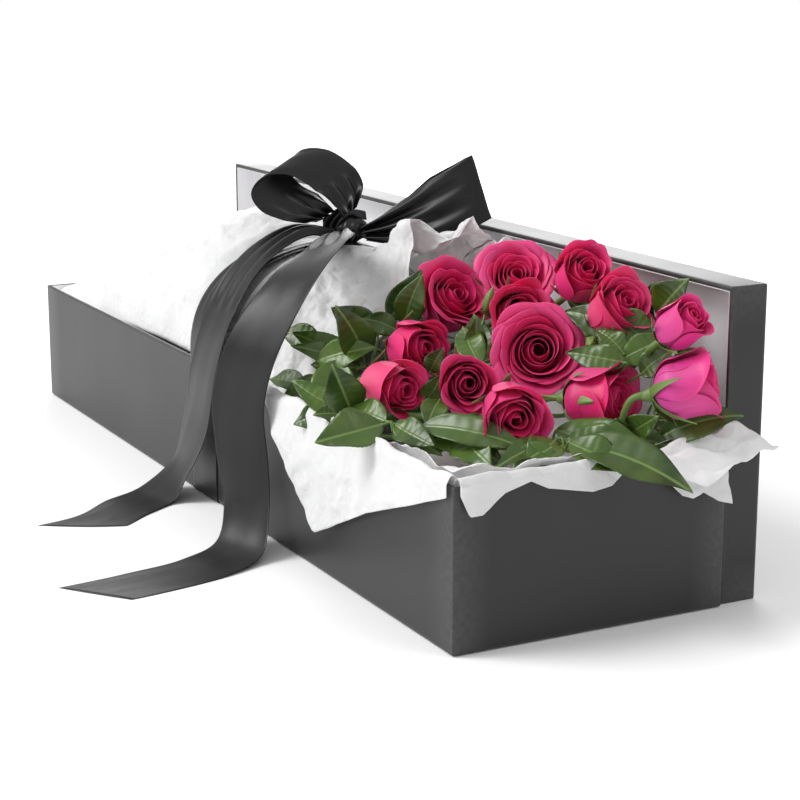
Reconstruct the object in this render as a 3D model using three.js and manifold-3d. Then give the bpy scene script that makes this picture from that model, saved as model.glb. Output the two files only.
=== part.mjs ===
// A long presentation box for cut flowers: a rigid board tray and its lift-off lid, a bunch of
// roses with foliage laid in tissue paper, and a satin ribbon tied round the tray in a bow.
// Millimetres. X runs along the tray with the blooms at +X, Y runs across it with the lid at +Y,
// Z is up. The origin lies on the table below the tray's middle, where the ribbon passes under it.
import * as THREE from "three";
import { mergeVertices } from "three/addons/utils/BufferGeometryUtils.js";
import Module from "manifold-3d";

const wasm = await Module();
wasm.setup();

// ---- driving dimensions ----
const trayLength = 800;
const trayWidth = 200;
const trayHeight = 106;
const lidDepth = 28;
const lidClearance = 1.6; // between the lid's inside and the tray's outside, on each side
const lidNearOffset = 4; // how far the standing lid's near end is behind the tray's near end
const lidStandoff = 2; // between the tray's back wall and the standing lid's rim
const boardThickness = 1.5;
const paperThickness = 0.3; // covering paper and lining paper
const stayThickness = 0.3; // gummed paper stay over each board corner
const stayWidth = 18; // one leg of a stay
const turnIn = 16; // covering paper turned over the rim and down the inside
const joinGap = 0.3; // between glued layers, and between pieces that touch
const ribbonWidth = 50;
const ribbonThickness = 0.5;
const knotSize = { x: 26, y: 24, z: 20 };
const tissueThickness = 0.6;
const crownHeight = 88; // how far the ribbon stands above the rim over the wrapped bunch
const puff = 10; // how far the wrap swells above the ribbon on each side of it
const stemDiameter = 5;
const sprigStemDiameter = 3;
const leafThickness = 0.8;
const slotPitch = stemDiameter + 3.2; // between stems in the tied bundle
const tieThickness = 3;
const padLength = 160; // rolled tissue pad under the blooms
const padHeight = 62;
const pouchWall = 1;
const pouchDepth = 80;

// ---- derived sizes ----
const layers = 2 * paperThickness + stayThickness + boardThickness + 3 * joinGap;
const wall = layers + joinGap + paperThickness; // covering, stay, board, turn-in and liner
const half = { x: trayLength / 2, y: trayWidth / 2 };
const trayBase = ribbonThickness + joinGap; // the ribbon passes under the tray
const rim = trayBase + trayHeight;
const traySpace = { x: half.x - wall, y: half.y - wall, floor: trayBase + wall };
const lidWidth = trayWidth + 2 * (wall + lidClearance);
const lidLength = trayLength + 2 * (wall + lidClearance);
const lidBack = half.y + lidStandoff + lidDepth;
const lidX = half.x - lidNearOffset - lidLength / 2; // centre of the standing lid

const palette = {
  covering: { color: 0x3a3a3c, roughness: 0.55, metalness: 0 },
  greyboard: { color: 0x8d8a84, roughness: 0.9, metalness: 0 },
  lining: { color: 0xf2f1f0, roughness: 0.8, metalness: 0 },
  stay: { color: 0xa98a5c, roughness: 0.85, metalness: 0 },
  satin: { color: 0x242428, roughness: 0.35, metalness: 0 },
  tissue: { color: 0xf6f6f5, roughness: 0.85, metalness: 0 },
  petal: { color: 0xd8155f, roughness: 0.6, metalness: 0 },
  stem: { color: 0x4c7a2c, roughness: 0.6, metalness: 0 },
  leaf: { color: 0x35591f, roughness: 0.5, metalness: 0 },
  rubber: { color: 0xb98b4a, roughness: 0.7, metalness: 0 },
  pouch: { color: 0xdfe4e6, roughness: 0.3, metalness: 0 },
};
const material = Object.fromEntries(
  Object.entries(palette).map(([name, look]) => [name, new THREE.MeshStandardMaterial(look)]),
);

const object = new THREE.Group();

// ---- solids ----
function toSolid(geometry) {
  const bare = new THREE.BufferGeometry();
  const source = geometry.index ? geometry.toNonIndexed() : geometry;
  bare.setAttribute("position", source.getAttribute("position"));
  const merged = mergeVertices(bare, 1e-3);
  return new wasm.Manifold(
    new wasm.Mesh({
      numProp: 3,
      vertProperties: merged.attributes.position.array,
      triVerts: new Uint32Array(merged.index.array),
    }),
  );
}

function toGeometry(solid) {
  const mesh = solid.getMesh();
  const geometry = new THREE.BufferGeometry();
  geometry.setAttribute("position", new THREE.BufferAttribute(mesh.vertProperties, 3));
  geometry.setIndex(new THREE.BufferAttribute(mesh.triVerts, 1));
  geometry.computeVertexNormals();
  return geometry;
}

function addPiece(name, solidOrGeometry, look, parent = object) {
  const isGeometry = solidOrGeometry.isBufferGeometry;
  const mesh = new THREE.Mesh(isGeometry ? solidOrGeometry : toGeometry(solidOrGeometry), look);
  mesh.name = name;
  parent.add(mesh);
  return mesh;
}

// A block between two opposite corners.
function block(low, high) {
  const size = high.map((v, i) => v - low[i]);
  const geometry = new THREE.BoxGeometry(...size);
  geometry.translate(...low.map((v, i) => v + size[i] / 2));
  return toSolid(geometry);
}

// An open box with walls and floor t thick, its mouth up.
function openBox(x, y, low, high, t) {
  const room = block([-x + t, -y + t, low + t], [x - t, y - t, high + 1]);
  return block([-x, -y, low], [x, y, high]).subtract(room);
}

// A closed body between two grids of points: rows[i][j] on one face and lower[i][j] on the other.
function slab(upper, lower) {
  const rows = upper.length;
  const columns = upper[0].length;
  const points = [...upper.flat(), ...lower.flat()];
  const at = (side, i, j) => side * rows * columns + i * columns + j;
  const index = [];
  const quad = (a, b, c, d) => index.push(a, b, c, a, c, d);
  for (let i = 0; i < rows - 1; i++) {
    for (let j = 0; j < columns - 1; j++) {
      quad(at(0, i, j), at(0, i + 1, j), at(0, i + 1, j + 1), at(0, i, j + 1));
      quad(at(1, i, j), at(1, i, j + 1), at(1, i + 1, j + 1), at(1, i + 1, j));
    }
  }
  for (let i = 0; i < rows - 1; i++) {
    quad(at(0, i, 0), at(1, i, 0), at(1, i + 1, 0), at(0, i + 1, 0));
    quad(at(0, i + 1, columns - 1), at(1, i + 1, columns - 1), at(1, i, columns - 1), at(0, i, columns - 1));
  }
  for (let j = 0; j < columns - 1; j++) {
    quad(at(0, 0, j + 1), at(1, 0, j + 1), at(1, 0, j), at(0, 0, j));
    quad(at(0, rows - 1, j), at(1, rows - 1, j), at(1, rows - 1, j + 1), at(0, rows - 1, j + 1));
  }
  const geometry = new THREE.BufferGeometry().setFromPoints(points);
  geometry.setIndex(index);
  const solid = toSolid(geometry);
  if (solid.volume() > 0) return solid;
  for (let k = 0; k < index.length; k += 3) [index[k + 1], index[k + 2]] = [index[k + 2], index[k + 1]];
  geometry.setIndex(index);
  return toSolid(geometry);
}

// A thin sheet: a grid of points thickened along its own normals.
function sheet(place, rows, columns, thickness) {
  const upper = [];
  const lower = [];
  const step = 1e-3;
  for (let i = 0; i <= rows; i++) {
    upper.push([]);
    lower.push([]);
    for (let j = 0; j <= columns; j++) {
      const u = i / rows;
      const v = j / columns;
      const du = place(Math.min(u + step, 1), v).sub(place(Math.max(u - step, 0), v));
      const dv = place(u, Math.min(v + step, 1)).sub(place(u, Math.max(v - step, 0)));
      const normal = du.cross(dv).normalize().multiplyScalar(thickness / 2);
      upper[i].push(place(u, v).add(normal));
      lower[i].push(place(u, v).sub(normal));
    }
  }
  return slab(upper, lower);
}

// A flat strip along a smooth line. Each station is [point, direction across, share of the width].
function strip(stations, width, thickness, steps) {
  const smooth = (list) => new THREE.CatmullRomCurve3(list, false, "centripetal");
  const line = smooth(stations.map(([point]) => new THREE.Vector3(...point)));
  const sides = smooth(stations.map(([, across]) => new THREE.Vector3(...across)));
  const place = (u, v) => {
    const along = Math.min(u * (stations.length - 1), stations.length - 1 - 1e-9);
    const k = Math.floor(along);
    const share = THREE.MathUtils.lerp(stations[k][2], stations[k + 1][2], along - k);
    return line.getPoint(u).addScaledVector(sides.getPoint(u).normalize(), (v - 0.5) * share * width);
  };
  return sheet(place, steps, 2, thickness);
}

// A round rod along a smooth line.
function rod(curve, diameter, steps, sides) {
  const ring = new THREE.Shape();
  for (let k = 0; k < sides; k++) {
    const turn = (k / sides) * 2 * Math.PI;
    const at = [(Math.cos(turn) * diameter) / 2, (Math.sin(turn) * diameter) / 2];
    if (k === 0) ring.moveTo(...at);
    else ring.lineTo(...at);
  }
  ring.closePath();
  return toSolid(new THREE.ExtrudeGeometry(ring, { extrudePath: curve, steps, curveSegments: 1 }));
}

// ---- rigid board tray and lid ----
// Both are an open box of the given outside size, mouth up, underside at z = 0.
function coveringPaper(length, width, height) {
  const [x, y] = [length / 2, width / 2];
  const t = paperThickness;
  const channel = layers - paperThickness; // from the outer face to the turned-in paper
  const outside = block([-x, -y, 0], [x, y, height]);
  const room = block([-x + t, -y + t, t], [x - t, y - t, height - t]);
  const collar = block([-x + channel, -y + channel, height - turnIn], [x - channel, y - channel, height]);
  const mouth = block([-x + layers, -y + layers, t], [x - layers, y - layers, height + 1]);
  return outside.subtract(room.subtract(collar)).subtract(mouth);
}

function boardBlank(length, width, height) {
  const outer = paperThickness + 2 * joinGap + stayThickness;
  const [x, y] = [length / 2 - outer, width / 2 - outer];
  const low = paperThickness + joinGap;
  const high = height - paperThickness - joinGap;
  return openBox(x, y, low, high, boardThickness);
}

function liningPaper(length, width, height) {
  const outer = layers + joinGap;
  const [x, y] = [length / 2 - outer, width / 2 - outer];
  const low = paperThickness + 2 * joinGap + boardThickness;
  const high = height - joinGap - paperThickness;
  return openBox(x, y, low, high, paperThickness);
}

function cornerStay(length, width, height, signX, signY) {
  const outer = paperThickness + joinGap;
  const [x, y] = [length / 2 - outer, width / 2 - outer];
  const low = paperThickness + joinGap;
  const high = height - 2 * (paperThickness + joinGap);
  const t = stayThickness;
  const [x0, y0] = [x - stayWidth, y - stayWidth];
  const square = block([x0, y0, low], [x, y, high]);
  const angle = square.subtract(block([x0 - 1, y0 - 1, low - 1], [x - t, y - t, high + 1]));
  const turned = signX < 0 ? angle.mirror([1, 0, 0]) : angle;
  return signY < 0 ? turned.mirror([0, 1, 0]) : turned;
}

function addBox(prefix, length, width, height, parent) {
  addPiece(`${prefix}_wrap`, coveringPaper(length, width, height), material.covering, parent);
  addPiece(`${prefix}_board`, boardBlank(length, width, height), material.greyboard, parent);
  addPiece(`${prefix}_liner`, liningPaper(length, width, height), material.lining, parent);
  [[1, -1], [1, 1], [-1, 1], [-1, -1]].forEach(([signX, signY], k) => {
    const stay = cornerStay(length, width, height, signX, signY);
    addPiece(`${prefix}_corner_stay_${k + 1}`, stay, material.stay, parent);
  });
}
const tray = new THREE.Group();
tray.position.z = trayBase;
object.add(tray);
addBox("tray", trayLength, trayWidth, trayHeight, tray);

const lid = new THREE.Group(); // stands on its long edge behind the tray, its mouth towards -Y
lid.rotation.x = Math.PI / 2;
lid.position.set(lidX, lidBack, lidWidth / 2);
object.add(lid);
addBox("lid", lidLength, lidWidth, lidDepth, lid);

// ---- tissue paper ----
// A sheet lines the tray. Its edges stop below the rim.
const tissueTop = rim - turnIn / 2;
const tissueGap = 0.5;
const tissueInner = {
  x: traySpace.x - tissueGap - tissueThickness,
  y: traySpace.y - tissueGap - tissueThickness,
  floor: traySpace.floor + tissueGap + tissueThickness,
};
function tissueLining() {
  const t = tissueThickness;
  return openBox(tissueInner.x + t, tissueInner.y + t, tissueInner.floor - t, tissueTop, t);
}
addPiece("tissue_lining", tissueLining(), material.tissue);

// The wrap arches over the stems from wall to wall. Its crown is [share of the half length,
// height above the rim] and dips where the ribbon holds it.
const wrapFoot = rim - 12;
const wrapHalf = tissueInner.y - 2 * tissueGap - tissueThickness;
const top = crownHeight + puff;
const seat = (ribbonWidth / 2 + 4) / half.x;
const underRibbon = crownHeight - ribbonThickness - 1;
const crown = [
  [-0.985, 3], [-0.86, 8], [-0.72, 0.27 * top], [-0.59, 0.6 * top], [-0.4, 0.86 * top],
  [-0.25, top], [-0.12, 0.98 * top], [-seat, underRibbon], [seat, underRibbon], [0.14, 0.97 * top],
];
function crownAt(x) {
  const share = x / half.x;
  const k = Math.max(1, crown.findIndex(([s]) => s >= share));
  const [[s0, z0], [s1, z1]] = [crown[k - 1], crown[k]];
  return rim + THREE.MathUtils.lerp(z0, z1, THREE.MathUtils.smoothstep(share, s0, s1));
}
function arch(turn, halfWidth, foot, crownZ) {
  return { y: -halfWidth * Math.sin(turn), z: foot + (crownZ - foot) * Math.cos(turn) ** 0.8 };
}
function tissueWrap() {
  const spans = crown.length - 1;
  const place = (u, v) => {
    const k = Math.min(Math.floor(u * spans), spans - 1);
    const x = half.x * THREE.MathUtils.lerp(crown[k][0], crown[k + 1][0], u * spans - k);
    const { y, z } = arch(0.96 * (v - 0.5) * Math.PI, wrapHalf, wrapFoot, crownAt(x));
    return new THREE.Vector3(x, y, z);
  };
  return sheet(place, 2 * spans, 12, tissueThickness);
}
addPiece("tissue_wrap", tissueWrap(), material.tissue);

// The collar opens out of the wrap: its front half lies down behind the blooms and its back half
// stands up in peaks by the lid. Its edge is [turn on the arch, back from the near end, share of
// the half width, height above the rim].
const collarStart = crown[crown.length - 1][0] * half.x + 4;
const collarSag = 5;
const collarEdge = [
  [-1.51, 235, 1, 60], [-1.1, 254, 0.92, 103], [-0.85, 260, 0.81, 104], [-0.6, 264, 0.67, 120],
  [-0.35, 278, 0.56, 106], [-0.15, 308, 0.39, 112], [0.1, 282, 0.19, 66], [0.4, 270, -0.09, 38],
  [0.75, 262, -0.47, 16], [1.1, 268, -0.8, -2], [1.51, 276, -1, -8],
];
function collarEdgeAt(turn) {
  const k = Math.max(1, collarEdge.findIndex(([t]) => t >= turn));
  const [before, after] = [collarEdge[k - 1], collarEdge[k]];
  const s = (turn - before[0]) / (after[0] - before[0]);
  const [, back, share, above] = before.map((value, i) => THREE.MathUtils.lerp(value, after[i], s));
  return new THREE.Vector3(half.x - back, share * wrapHalf, rim + above);
}
function tissueCollar() {
  const place = (u, v) => {
    const turn = 0.96 * (v - 0.5) * Math.PI;
    const { y, z } = arch(turn, wrapHalf, wrapFoot, rim + top - 6);
    const point = new THREE.Vector3(collarStart, y, z).lerp(collarEdgeAt(turn), u);
    point.z -= collarSag * Math.sin(Math.PI * u);
    return point;
  };
  return sheet(place, 4, 20, tissueThickness);
}
addPiece("tissue_collar", tissueCollar(), material.tissue);

// A drape lies over the rim and hangs down outside a wall. Its outline is [along, drop below the
// rim]; along runs on the first direction and the wall faces the second.
function drape(outline, along, out, wallAt) {
  const level = rim + joinGap + tissueThickness;
  const hanging = new THREE.Shape(outline.map(([s, drop]) => new THREE.Vector2(s, level - drop)));
  const plate = new THREE.ExtrudeGeometry(hanging, { depth: tissueThickness, bevelEnabled: false });
  const ends = outline.map(([s]) => s);
  const low = [Math.min(...ends), level - tissueThickness, -joinGap - wall];
  const over = block(low, [Math.max(...ends), level, tissueThickness / 2]);
  const turn = new THREE.Matrix4().makeBasis(along, new THREE.Vector3(0, 0, 1), out);
  turn.setPosition(out.clone().multiplyScalar(wallAt + joinGap));
  return toSolid(plate).add(over).transform(turn.toArray());
}
const frontOutline = [[276, 0], [276, 4], [181, 76], [100, 42], [4, 8], [4, 0]].map(
  ([back, drop]) => [half.x - back, drop],
);
addPiece(
  "tissue_front_drape",
  drape(frontOutline, new THREE.Vector3(1, 0, 0), new THREE.Vector3(0, -1, 0), half.y),
  material.tissue,
);
const endOutline = [
  [-0.94, 0], [-0.91, 17], [-0.72, 5], [-0.3, 5], [0, 15], [0.4, 8], [0.66, 25], [0.94, 30], [0.94, 0],
].map(([share, drop]) => [share * half.y, drop]);
addPiece(
  "tissue_end_drape",
  drape(endOutline, new THREE.Vector3(0, 1, 0), new THREE.Vector3(1, 0, 0), half.x),
  material.tissue,
);

// A rolled pad across the tray lifts the blooms, and a sheet lies over it.
const padLow = tissueInner.floor + joinGap;
const padEnd = tissueInner.x - 6;
const padHalf = tissueInner.y - 6;
function bloomPad() {
  const r = padHeight / 2;
  const roll = new THREE.Shape();
  roll.absarc(padEnd - padLength + r, padLow + r, r, Math.PI / 2, 1.5 * Math.PI);
  roll.absarc(padEnd - r, padLow + r, r, -Math.PI / 2, Math.PI / 2);
  const pad = new THREE.ExtrudeGeometry(roll, { depth: 2 * padHalf, bevelEnabled: false, curveSegments: 6 });
  pad.rotateX(Math.PI / 2);
  pad.translate(0, padHalf, 0);
  return toSolid(pad);
}
addPiece("bloom_pad", bloomPad(), material.tissue);

const bedStart = padEnd - padLength - 30;
function tissueBed() {
  const place = (u, v) => {
    const x = THREE.MathUtils.lerp(bedStart, tissueInner.x - 3, u);
    const y = THREE.MathUtils.lerp(tissueInner.y - 3, -tissueInner.y + 3, v);
    const z = padLow + padHeight + 3 + 1.5 * Math.sin(9 * u) * Math.cos(7 * v);
    return new THREE.Vector3(x, y, z);
  };
  return sheet(place, 10, 8, tissueThickness);
}
addPiece("tissue_bed", tissueBed(), material.tissue);

// ---- flowers ----
// The stems lie side by side in rows in a tied bundle along the tray.
const bundleX = -0.17 * half.x;
const stemEnd = -0.83 * half.x;
const rowPitch = slotPitch * 0.87;
const bundleRadius = 2 * slotPitch + stemDiameter / 2 + 1;
const bundleMiddle = tissueInner.floor + joinGap + Math.max(pouchWall, tieThickness) + bundleRadius;
function slot([row, column]) {
  return [(column + (row === 0 ? 0 : 0.5)) * slotPitch, bundleMiddle + row * rowPitch];
}

// Each rose: its middle as [back from the near end, across, above the rim], its diameter and
// height, the way it faces, the points its stem passes through and its place in the bundle.
const roses = [
  { at: [226, 76, 74], size: [46, 38], facing: [0.65, -0.3, 0.65], via: [[256, 77, 42]], place: [1, 0] },
  { at: [136, 74, 93], size: [34, 38], facing: [0.7, -0.1, 0.5],
    via: [[210, 88, 55], [262, 85, 31]], place: [1, 1] },
  { at: [252, 34, 58], size: [46, 44], facing: [0.75, 0.1, 0.6], via: [], place: [1, -1] },
  { at: [180, 50, 62], size: [38, 36], facing: [0.9, -0.25, 0.35], via: [[222, 76, 22]], place: [0, 1] },
  { at: [130, 36, 45], size: [53, 38], facing: [0.85, -0.4, 0.35], via: [[210, 42, 15]], place: [0, 0] },
  { at: [89, 72, 77], size: [38, 38], facing: [0.75, 0.1, 0.6],
    via: [[136, 84, 52], [210, 86, 38]], place: [0, 2] },
  { at: [8, 66, 82], size: [28, 34], facing: [0.75, 0.2, 0.6],
    via: [[60, 80, 48], [100, 86, 38], [150, 84, 28], [210, 70, 9]], place: [-1, 1] },
  { at: [189, -26, 44], size: [36, 42], facing: [0.95, 0.05, 0.1], via: [[246, -22, 12]], place: [1, -2] },
  { at: [164, -58, 24], size: [36, 44], facing: [0.95, 0.15, 0.05], via: [[206, -62, 18]], place: [0, -2] },
  { at: [132, -18, 29], size: [34, 36], facing: [0.9, -0.35, 0.15], via: [[190, -11, 13]], place: [0, -1] },
  { at: [65, -22, 24], size: [38, 44], facing: [0.9, -0.3, -0.1],
    via: [[112, -11, 4], [132, -17, 1], [210, -26, -9]], place: [-1, -2] },
  { at: [63, 41, 26], size: [45, 42], facing: [0.8, 0.45, 0.1],
    via: [[130, 26, 8], [210, 18, -4]], place: [-1, 0] },
  { at: [4, 69, 43], size: [40, 42], facing: [0.55, 0.75, 0.25],
    via: [[38, 38, 4], [60, 30, -6], [130, 8, -10], [210, 2, -14]], place: [-1, -1] },
];
const bloomProfile = [
  [0, 0], [0.16, 0], [0.3, 0.1], [0.46, 0.38], [0.5, 0.66], [0.44, 1], [0.26, 0.94], [0, 0.8],
]; // shares of the diameter and the height

const toPoint = ([back, across, above]) => new THREE.Vector3(half.x - back, across, rim + above);

function stem(start, out, through, foot, diameter) {
  const points = [start, start.clone().addScaledVector(out, -16), ...through, ...foot];
  const line = new THREE.CatmullRomCurve3(points, false, "centripetal");
  return rod(line, diameter, 4 * points.length, 6);
}

roses.forEach(({ at, size: [diameter, height], facing, via, place }, k) => {
  const out = new THREE.Vector3(...facing).normalize();
  const base = toPoint(at).addScaledVector(out, -height / 2);
  const profile = bloomProfile.map(([r, h]) => new THREE.Vector2(r * diameter, h * height));
  const turn = new THREE.Quaternion().setFromUnitVectors(new THREE.Vector3(0, 1, 0), out);
  const bloom = new THREE.LatheGeometry(profile, 14).applyQuaternion(turn).translate(...base);
  const [y, z] = slot(place);
  const foot = [0, 0.5, 1].map((s) => new THREE.Vector3(THREE.MathUtils.lerp(bundleX, stemEnd, s), y, z));
  const inside = base.clone().addScaledVector(out, 2);
  const stalk = stem(inside, out, via.map(toPoint), foot, stemDiameter);
  addPiece(`rose_${String(k + 1).padStart(2, "0")}`, toSolid(bloom).add(stalk), material.petal);
});

// A leaf is a flat pointed blade from its base to its tip. Its face looks along the given way.
function leaf(base, tip, face, width) {
  const length = base.distanceTo(tip) + 2;
  const outline = new THREE.Shape();
  outline.moveTo(0, 0);
  outline.quadraticCurveTo(length * 0.35, width, length, 0);
  outline.quadraticCurveTo(length * 0.35, -width, 0, 0);
  const depth = leafThickness;
  const blade = new THREE.ExtrudeGeometry(outline, { depth, bevelEnabled: false, curveSegments: 5 });
  blade.translate(-2, 0, -depth / 2);
  const x = tip.clone().sub(base).normalize();
  const z = new THREE.Vector3(...face);
  z.addScaledVector(x, -x.dot(z)).normalize();
  blade.applyMatrix4(new THREE.Matrix4().makeBasis(x, z.clone().cross(x), z).setPosition(base));
  return toSolid(blade);
}

// Cut sprigs are tucked in round the heads. Each has the top of its stalk, the stalk's other
// points, and leaves as [tip, way it faces, width], all placed as the roses are.
const sprigs = [
  { // in front of the lowest blooms, over the front wall
    stalk: [[112, -84, 14], [170, -70, -4], [230, -50, -22]],
    leaves: [[[118, -136, 5], [0.3, 0.1, 0.9], 26], [[72, -74, 6], [0.2, -0.4, 0.9], 17],
      [[160, -92, 14], [0.3, -0.4, 0.8], 18]],
  },
  { // front, before the middle
    stalk: [[84, -56, 10], [140, -44, -8], [200, -46, -20]],
    leaves: [[[46, -38, -5], [0.3, -0.5, 0.8], 18], [[38, -52, -2], [0.2, -0.5, 0.9], 22]],
  },
  { // near end
    stalk: [[30, -6, 13], [110, -9, -16], [170, -8, -18]],
    leaves: [[[2, 30, 8], [0.3, -0.3, 0.9], 22], [[-52, 36, -8], [0.1, -0.1, 1], 28],
      [[16, -40, 6], [0.3, -0.2, 0.9], 20]],
  },
  { // near end, by the lid
    stalk: [[20, 56, 6], [60, 52, -10], [150, 46, -20]],
    leaves: [[[-18, 98, 26], [0.4, -0.4, 0.8], 22], [[-6, 74, 4], [0.3, -0.1, 0.9], 20]],
  },
  { // in front of the lid
    stalk: [[100, 94, 40], [140, 92, 10], [170, 88, -8]],
    leaves: [[[84, 98, 96], [0.1, -1, 0], 18], [[34, 96, 58], [0.1, -1, 0.1], 15]],
  },
  { // front left
    stalk: [[166, -84, 6], [220, -70, -14], [280, -52, -30]],
    leaves: [[[154, -106, 46], [0.8, -0.4, 0.1], 24], [[206, -112, 26], [0.5, -0.2, 0.8], 16],
      [[176, -110, 8], [0.4, -0.2, 0.9], 14]],
  },
  { // left, over the tissue
    stalk: [[222, -46, 26], [262, -34, 0], [310, -28, -26]],
    leaves: [[[212, -76, 74], [0.8, -0.3, 0.3], 22], [[236, -84, 28], [0.6, -0.2, 0.7], 18],
      [[252, -92, 40], [0.6, -0.4, 0.6], 14], [[266, -84, 46], [0.7, -0.5, 0.4], 17]],
  },
  { // behind the semi-open rose
    stalk: [[226, -16, 48], [270, -10, 18], [320, -12, -18]],
    leaves: [[[212, -8, 90], [0.8, -0.5, 0.1], 18], [[244, -40, 56], [0.6, -0.5, 0.4], 14]],
  },
  { // between the middle blooms
    stalk: [[164, 2, 30], [186, 5, 16], [206, 6, 5]],
    leaves: [[[160, 6, 68], [0.9, -0.3, 0.1], 15]],
  },
  { // behind the largest rose
    stalk: [[86, 50, 32], [110, 54, 6], [190, 56, -12]],
    leaves: [[[74, 64, 66], [0.9, -0.3, 0.2], 18], [[64, 84, 60], [0.8, -0.3, 0.4], 20],
      [[98, 72, 56], [0.8, -0.4, 0.3], 16]],
  },
];
sprigs.forEach(({ stalk, leaves }, k) => {
  const points = stalk.map(toPoint);
  const line = new THREE.CatmullRomCurve3(points, false, "centripetal");
  let sprig = rod(line, sprigStemDiameter, 8, 6);
  for (const [tip, face, width] of leaves) {
    const base = line.getPoint(0.02);
    sprig = sprig.add(leaf(base, toPoint(tip), face, width));
  }
  addPiece(`foliage_sprig_${String(k + 1).padStart(2, "0")}`, sprig, material.leaf);
});

// ---- what holds the bunch ----
function stemTie() {
  const ring = new THREE.TorusGeometry(bundleRadius + tieThickness / 2, tieThickness / 2, 6, 24);
  ring.rotateY(Math.PI / 2);
  ring.translate(bundleX - 40, 0, bundleMiddle);
  return toSolid(ring);
}
addPiece("stem_tie", stemTie(), material.rubber);

function waterPouch() {
  const [r, t] = [bundleRadius, pouchWall];
  const profile = [[0, 0], [r + t, 0], [r + t, pouchDepth], [r, pouchDepth], [r, t], [0, t]];
  const cup = new THREE.LatheGeometry(profile.map(([a, b]) => new THREE.Vector2(a, b)), 20);
  cup.rotateZ(-Math.PI / 2);
  cup.translate(stemEnd - pouchWall - joinGap, 0, bundleMiddle);
  return toSolid(cup);
}
addPiece("water_pouch", waterPouch(), material.pouch);

// ---- ribbon ----
// The band goes once round the tray and over the wrap, and the knot sits on it.
const bandGap = joinGap + ribbonThickness / 2;
function ribbonBand() {
  const section = (offset) => {
    const y = half.y + bandGap + offset;
    const low = ribbonThickness / 2 - offset;
    const line = [];
    for (let k = 0; k <= 12; k++) {
      const point = arch((k / 12 - 0.5) * Math.PI, y, rim, rim + crownHeight + offset);
      line.push(new THREE.Vector2(point.y, point.z));
    }
    return [...line, new THREE.Vector2(-y, low), new THREE.Vector2(y, low)];
  };
  const ring = new THREE.Shape(section(ribbonThickness / 2));
  ring.holes.push(new THREE.Path(section(-ribbonThickness / 2)));
  const band = new THREE.ExtrudeGeometry(ring, { depth: ribbonWidth, bevelEnabled: false });
  band.rotateX(Math.PI / 2);
  band.rotateZ(Math.PI / 2);
  band.translate(-ribbonWidth / 2, 0, 0);
  return toSolid(band);
}
addPiece("ribbon_band", ribbonBand(), material.satin);

const knot = { x: 8, y: 24, z: rim + 0.98 * crownHeight + ribbonThickness + knotSize.z / 2 };
function ribbonKnot() {
  const shape = new THREE.SphereGeometry(0.5, 12, 8);
  shape.scale(knotSize.x, knotSize.y, knotSize.z);
  shape.translate(knot.x, knot.y, knot.z);
  return toSolid(shape);
}
addPiece("ribbon_knot", ribbonKnot(), material.satin);

// Loops start and end at the knot: points are measured from its centre.
const fromKnot = (stations) =>
  stations.map(([[x, y, z], across, share]) => [[knot.x + x, knot.y + y, knot.z + z], across, share]);
const tilt = [-0.43, 0.84, 0.33];
const leftLoop = fromKnot([
  [[0, -2, 12.5], tilt, 0.35], [[-10, 2, 24], tilt, 0.8], [[-21, -4, 38], tilt, 1],
  [[-31, -21, 51], tilt, 1], [[-35, -42, 51], tilt, 1], [[-30, -55, 39], tilt, 1],
  [[-20, -52, 27], tilt, 1], [[-11, -38, 19], tilt, 0.95], [[-6, -25, 14], tilt, 0.65],
  [[-8, -17, 11], tilt, 0.4],
]);
const upright = [-0.33, -0.16, 0.93];
const rightLoop = fromKnot([
  [[14, 4, -2], upright, 0.22], [[34, 22, 5], upright, 0.62], [[66, 42, 21], upright, 0.95],
  [[86, 60, 35], upright, 1], [[89, 67, 39.5], upright, 1], [[79, 66, 36], upright, 1],
  [[52, 50, 22], upright, 0.9], [[24, 30, 5], upright, 0.5], [[8, 14, -1], upright, 0.22],
]);
addPiece("ribbon_loop_left", strip(leftLoop, ribbonWidth, ribbonThickness, 24), material.satin);
addPiece("ribbon_loop_right", strip(rightLoop, ribbonWidth, ribbonThickness, 24), material.satin);

// Tails run from the knot over the wrap and the front rim, and trail on the table.
const onTable = ribbonThickness / 2 + joinGap;
const front = -half.y; // the front wall
const leftTail = [
  [[knot.x - 4, knot.y - 14, knot.z - 2], [1, 0, 0], 0.3], [[6, -20, rim + 99], [1, 0, 0], 0.7],
  [[10, front + 40, rim + 80], [1, 0, 0], 0.95], [[26, front + 6, rim + 46], [1, 0, 0], 1],
  [[18, front - 7, rim], [1, 0, 0], 1], [[4, front - 10, 60], [1, 0, 0], 1],
  [[-12, front - 16, 24], [1, -0.1, 0], 1], [[-14, front - 34, 3], [1, 0.2, 0], 1],
  [[4, front - 66, onTable], [1, 0.45, 0], 1], [[30, front - 98, onTable], [1, 0.35, 0], 1],
  [[42, front - 138, onTable], [1, 0.15, 0], 1],
];
const rightTail = [
  [[knot.x + 10, knot.y - 12, knot.z - 4], [0.8, 0.6, 0], 0.3], [[58, -14, rim + 101], [0.7, 0.5, 0.3], 0.7],
  [[106, front + 54, rim + 102], [0.8, 0.4, 0.3], 1], [[138, front + 16, rim + 86], [0.9, 0.3, 0.1], 1],
  [[134, front - 14, rim + 40], [0.9, 0.42, 0], 1], [[122, front - 22, rim - 4], [0.9, 0.42, 0], 1],
  [[126, front - 22, 66], [0.9, 0.42, 0], 1], [[138, front - 24, 30], [0.95, 0.3, 0], 1],
  [[154, front - 36, 6], [1, 0.3, 0], 1], [[170, front - 68, onTable], [1, 0.3, 0], 1],
  [[182, front - 120, onTable], [1, 0.1, 0], 1], [[188, front - 172, onTable], [1, 0, 0], 1],
];
addPiece("ribbon_tail_left", strip(leftTail, ribbonWidth, ribbonThickness, 30), material.satin);
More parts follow.
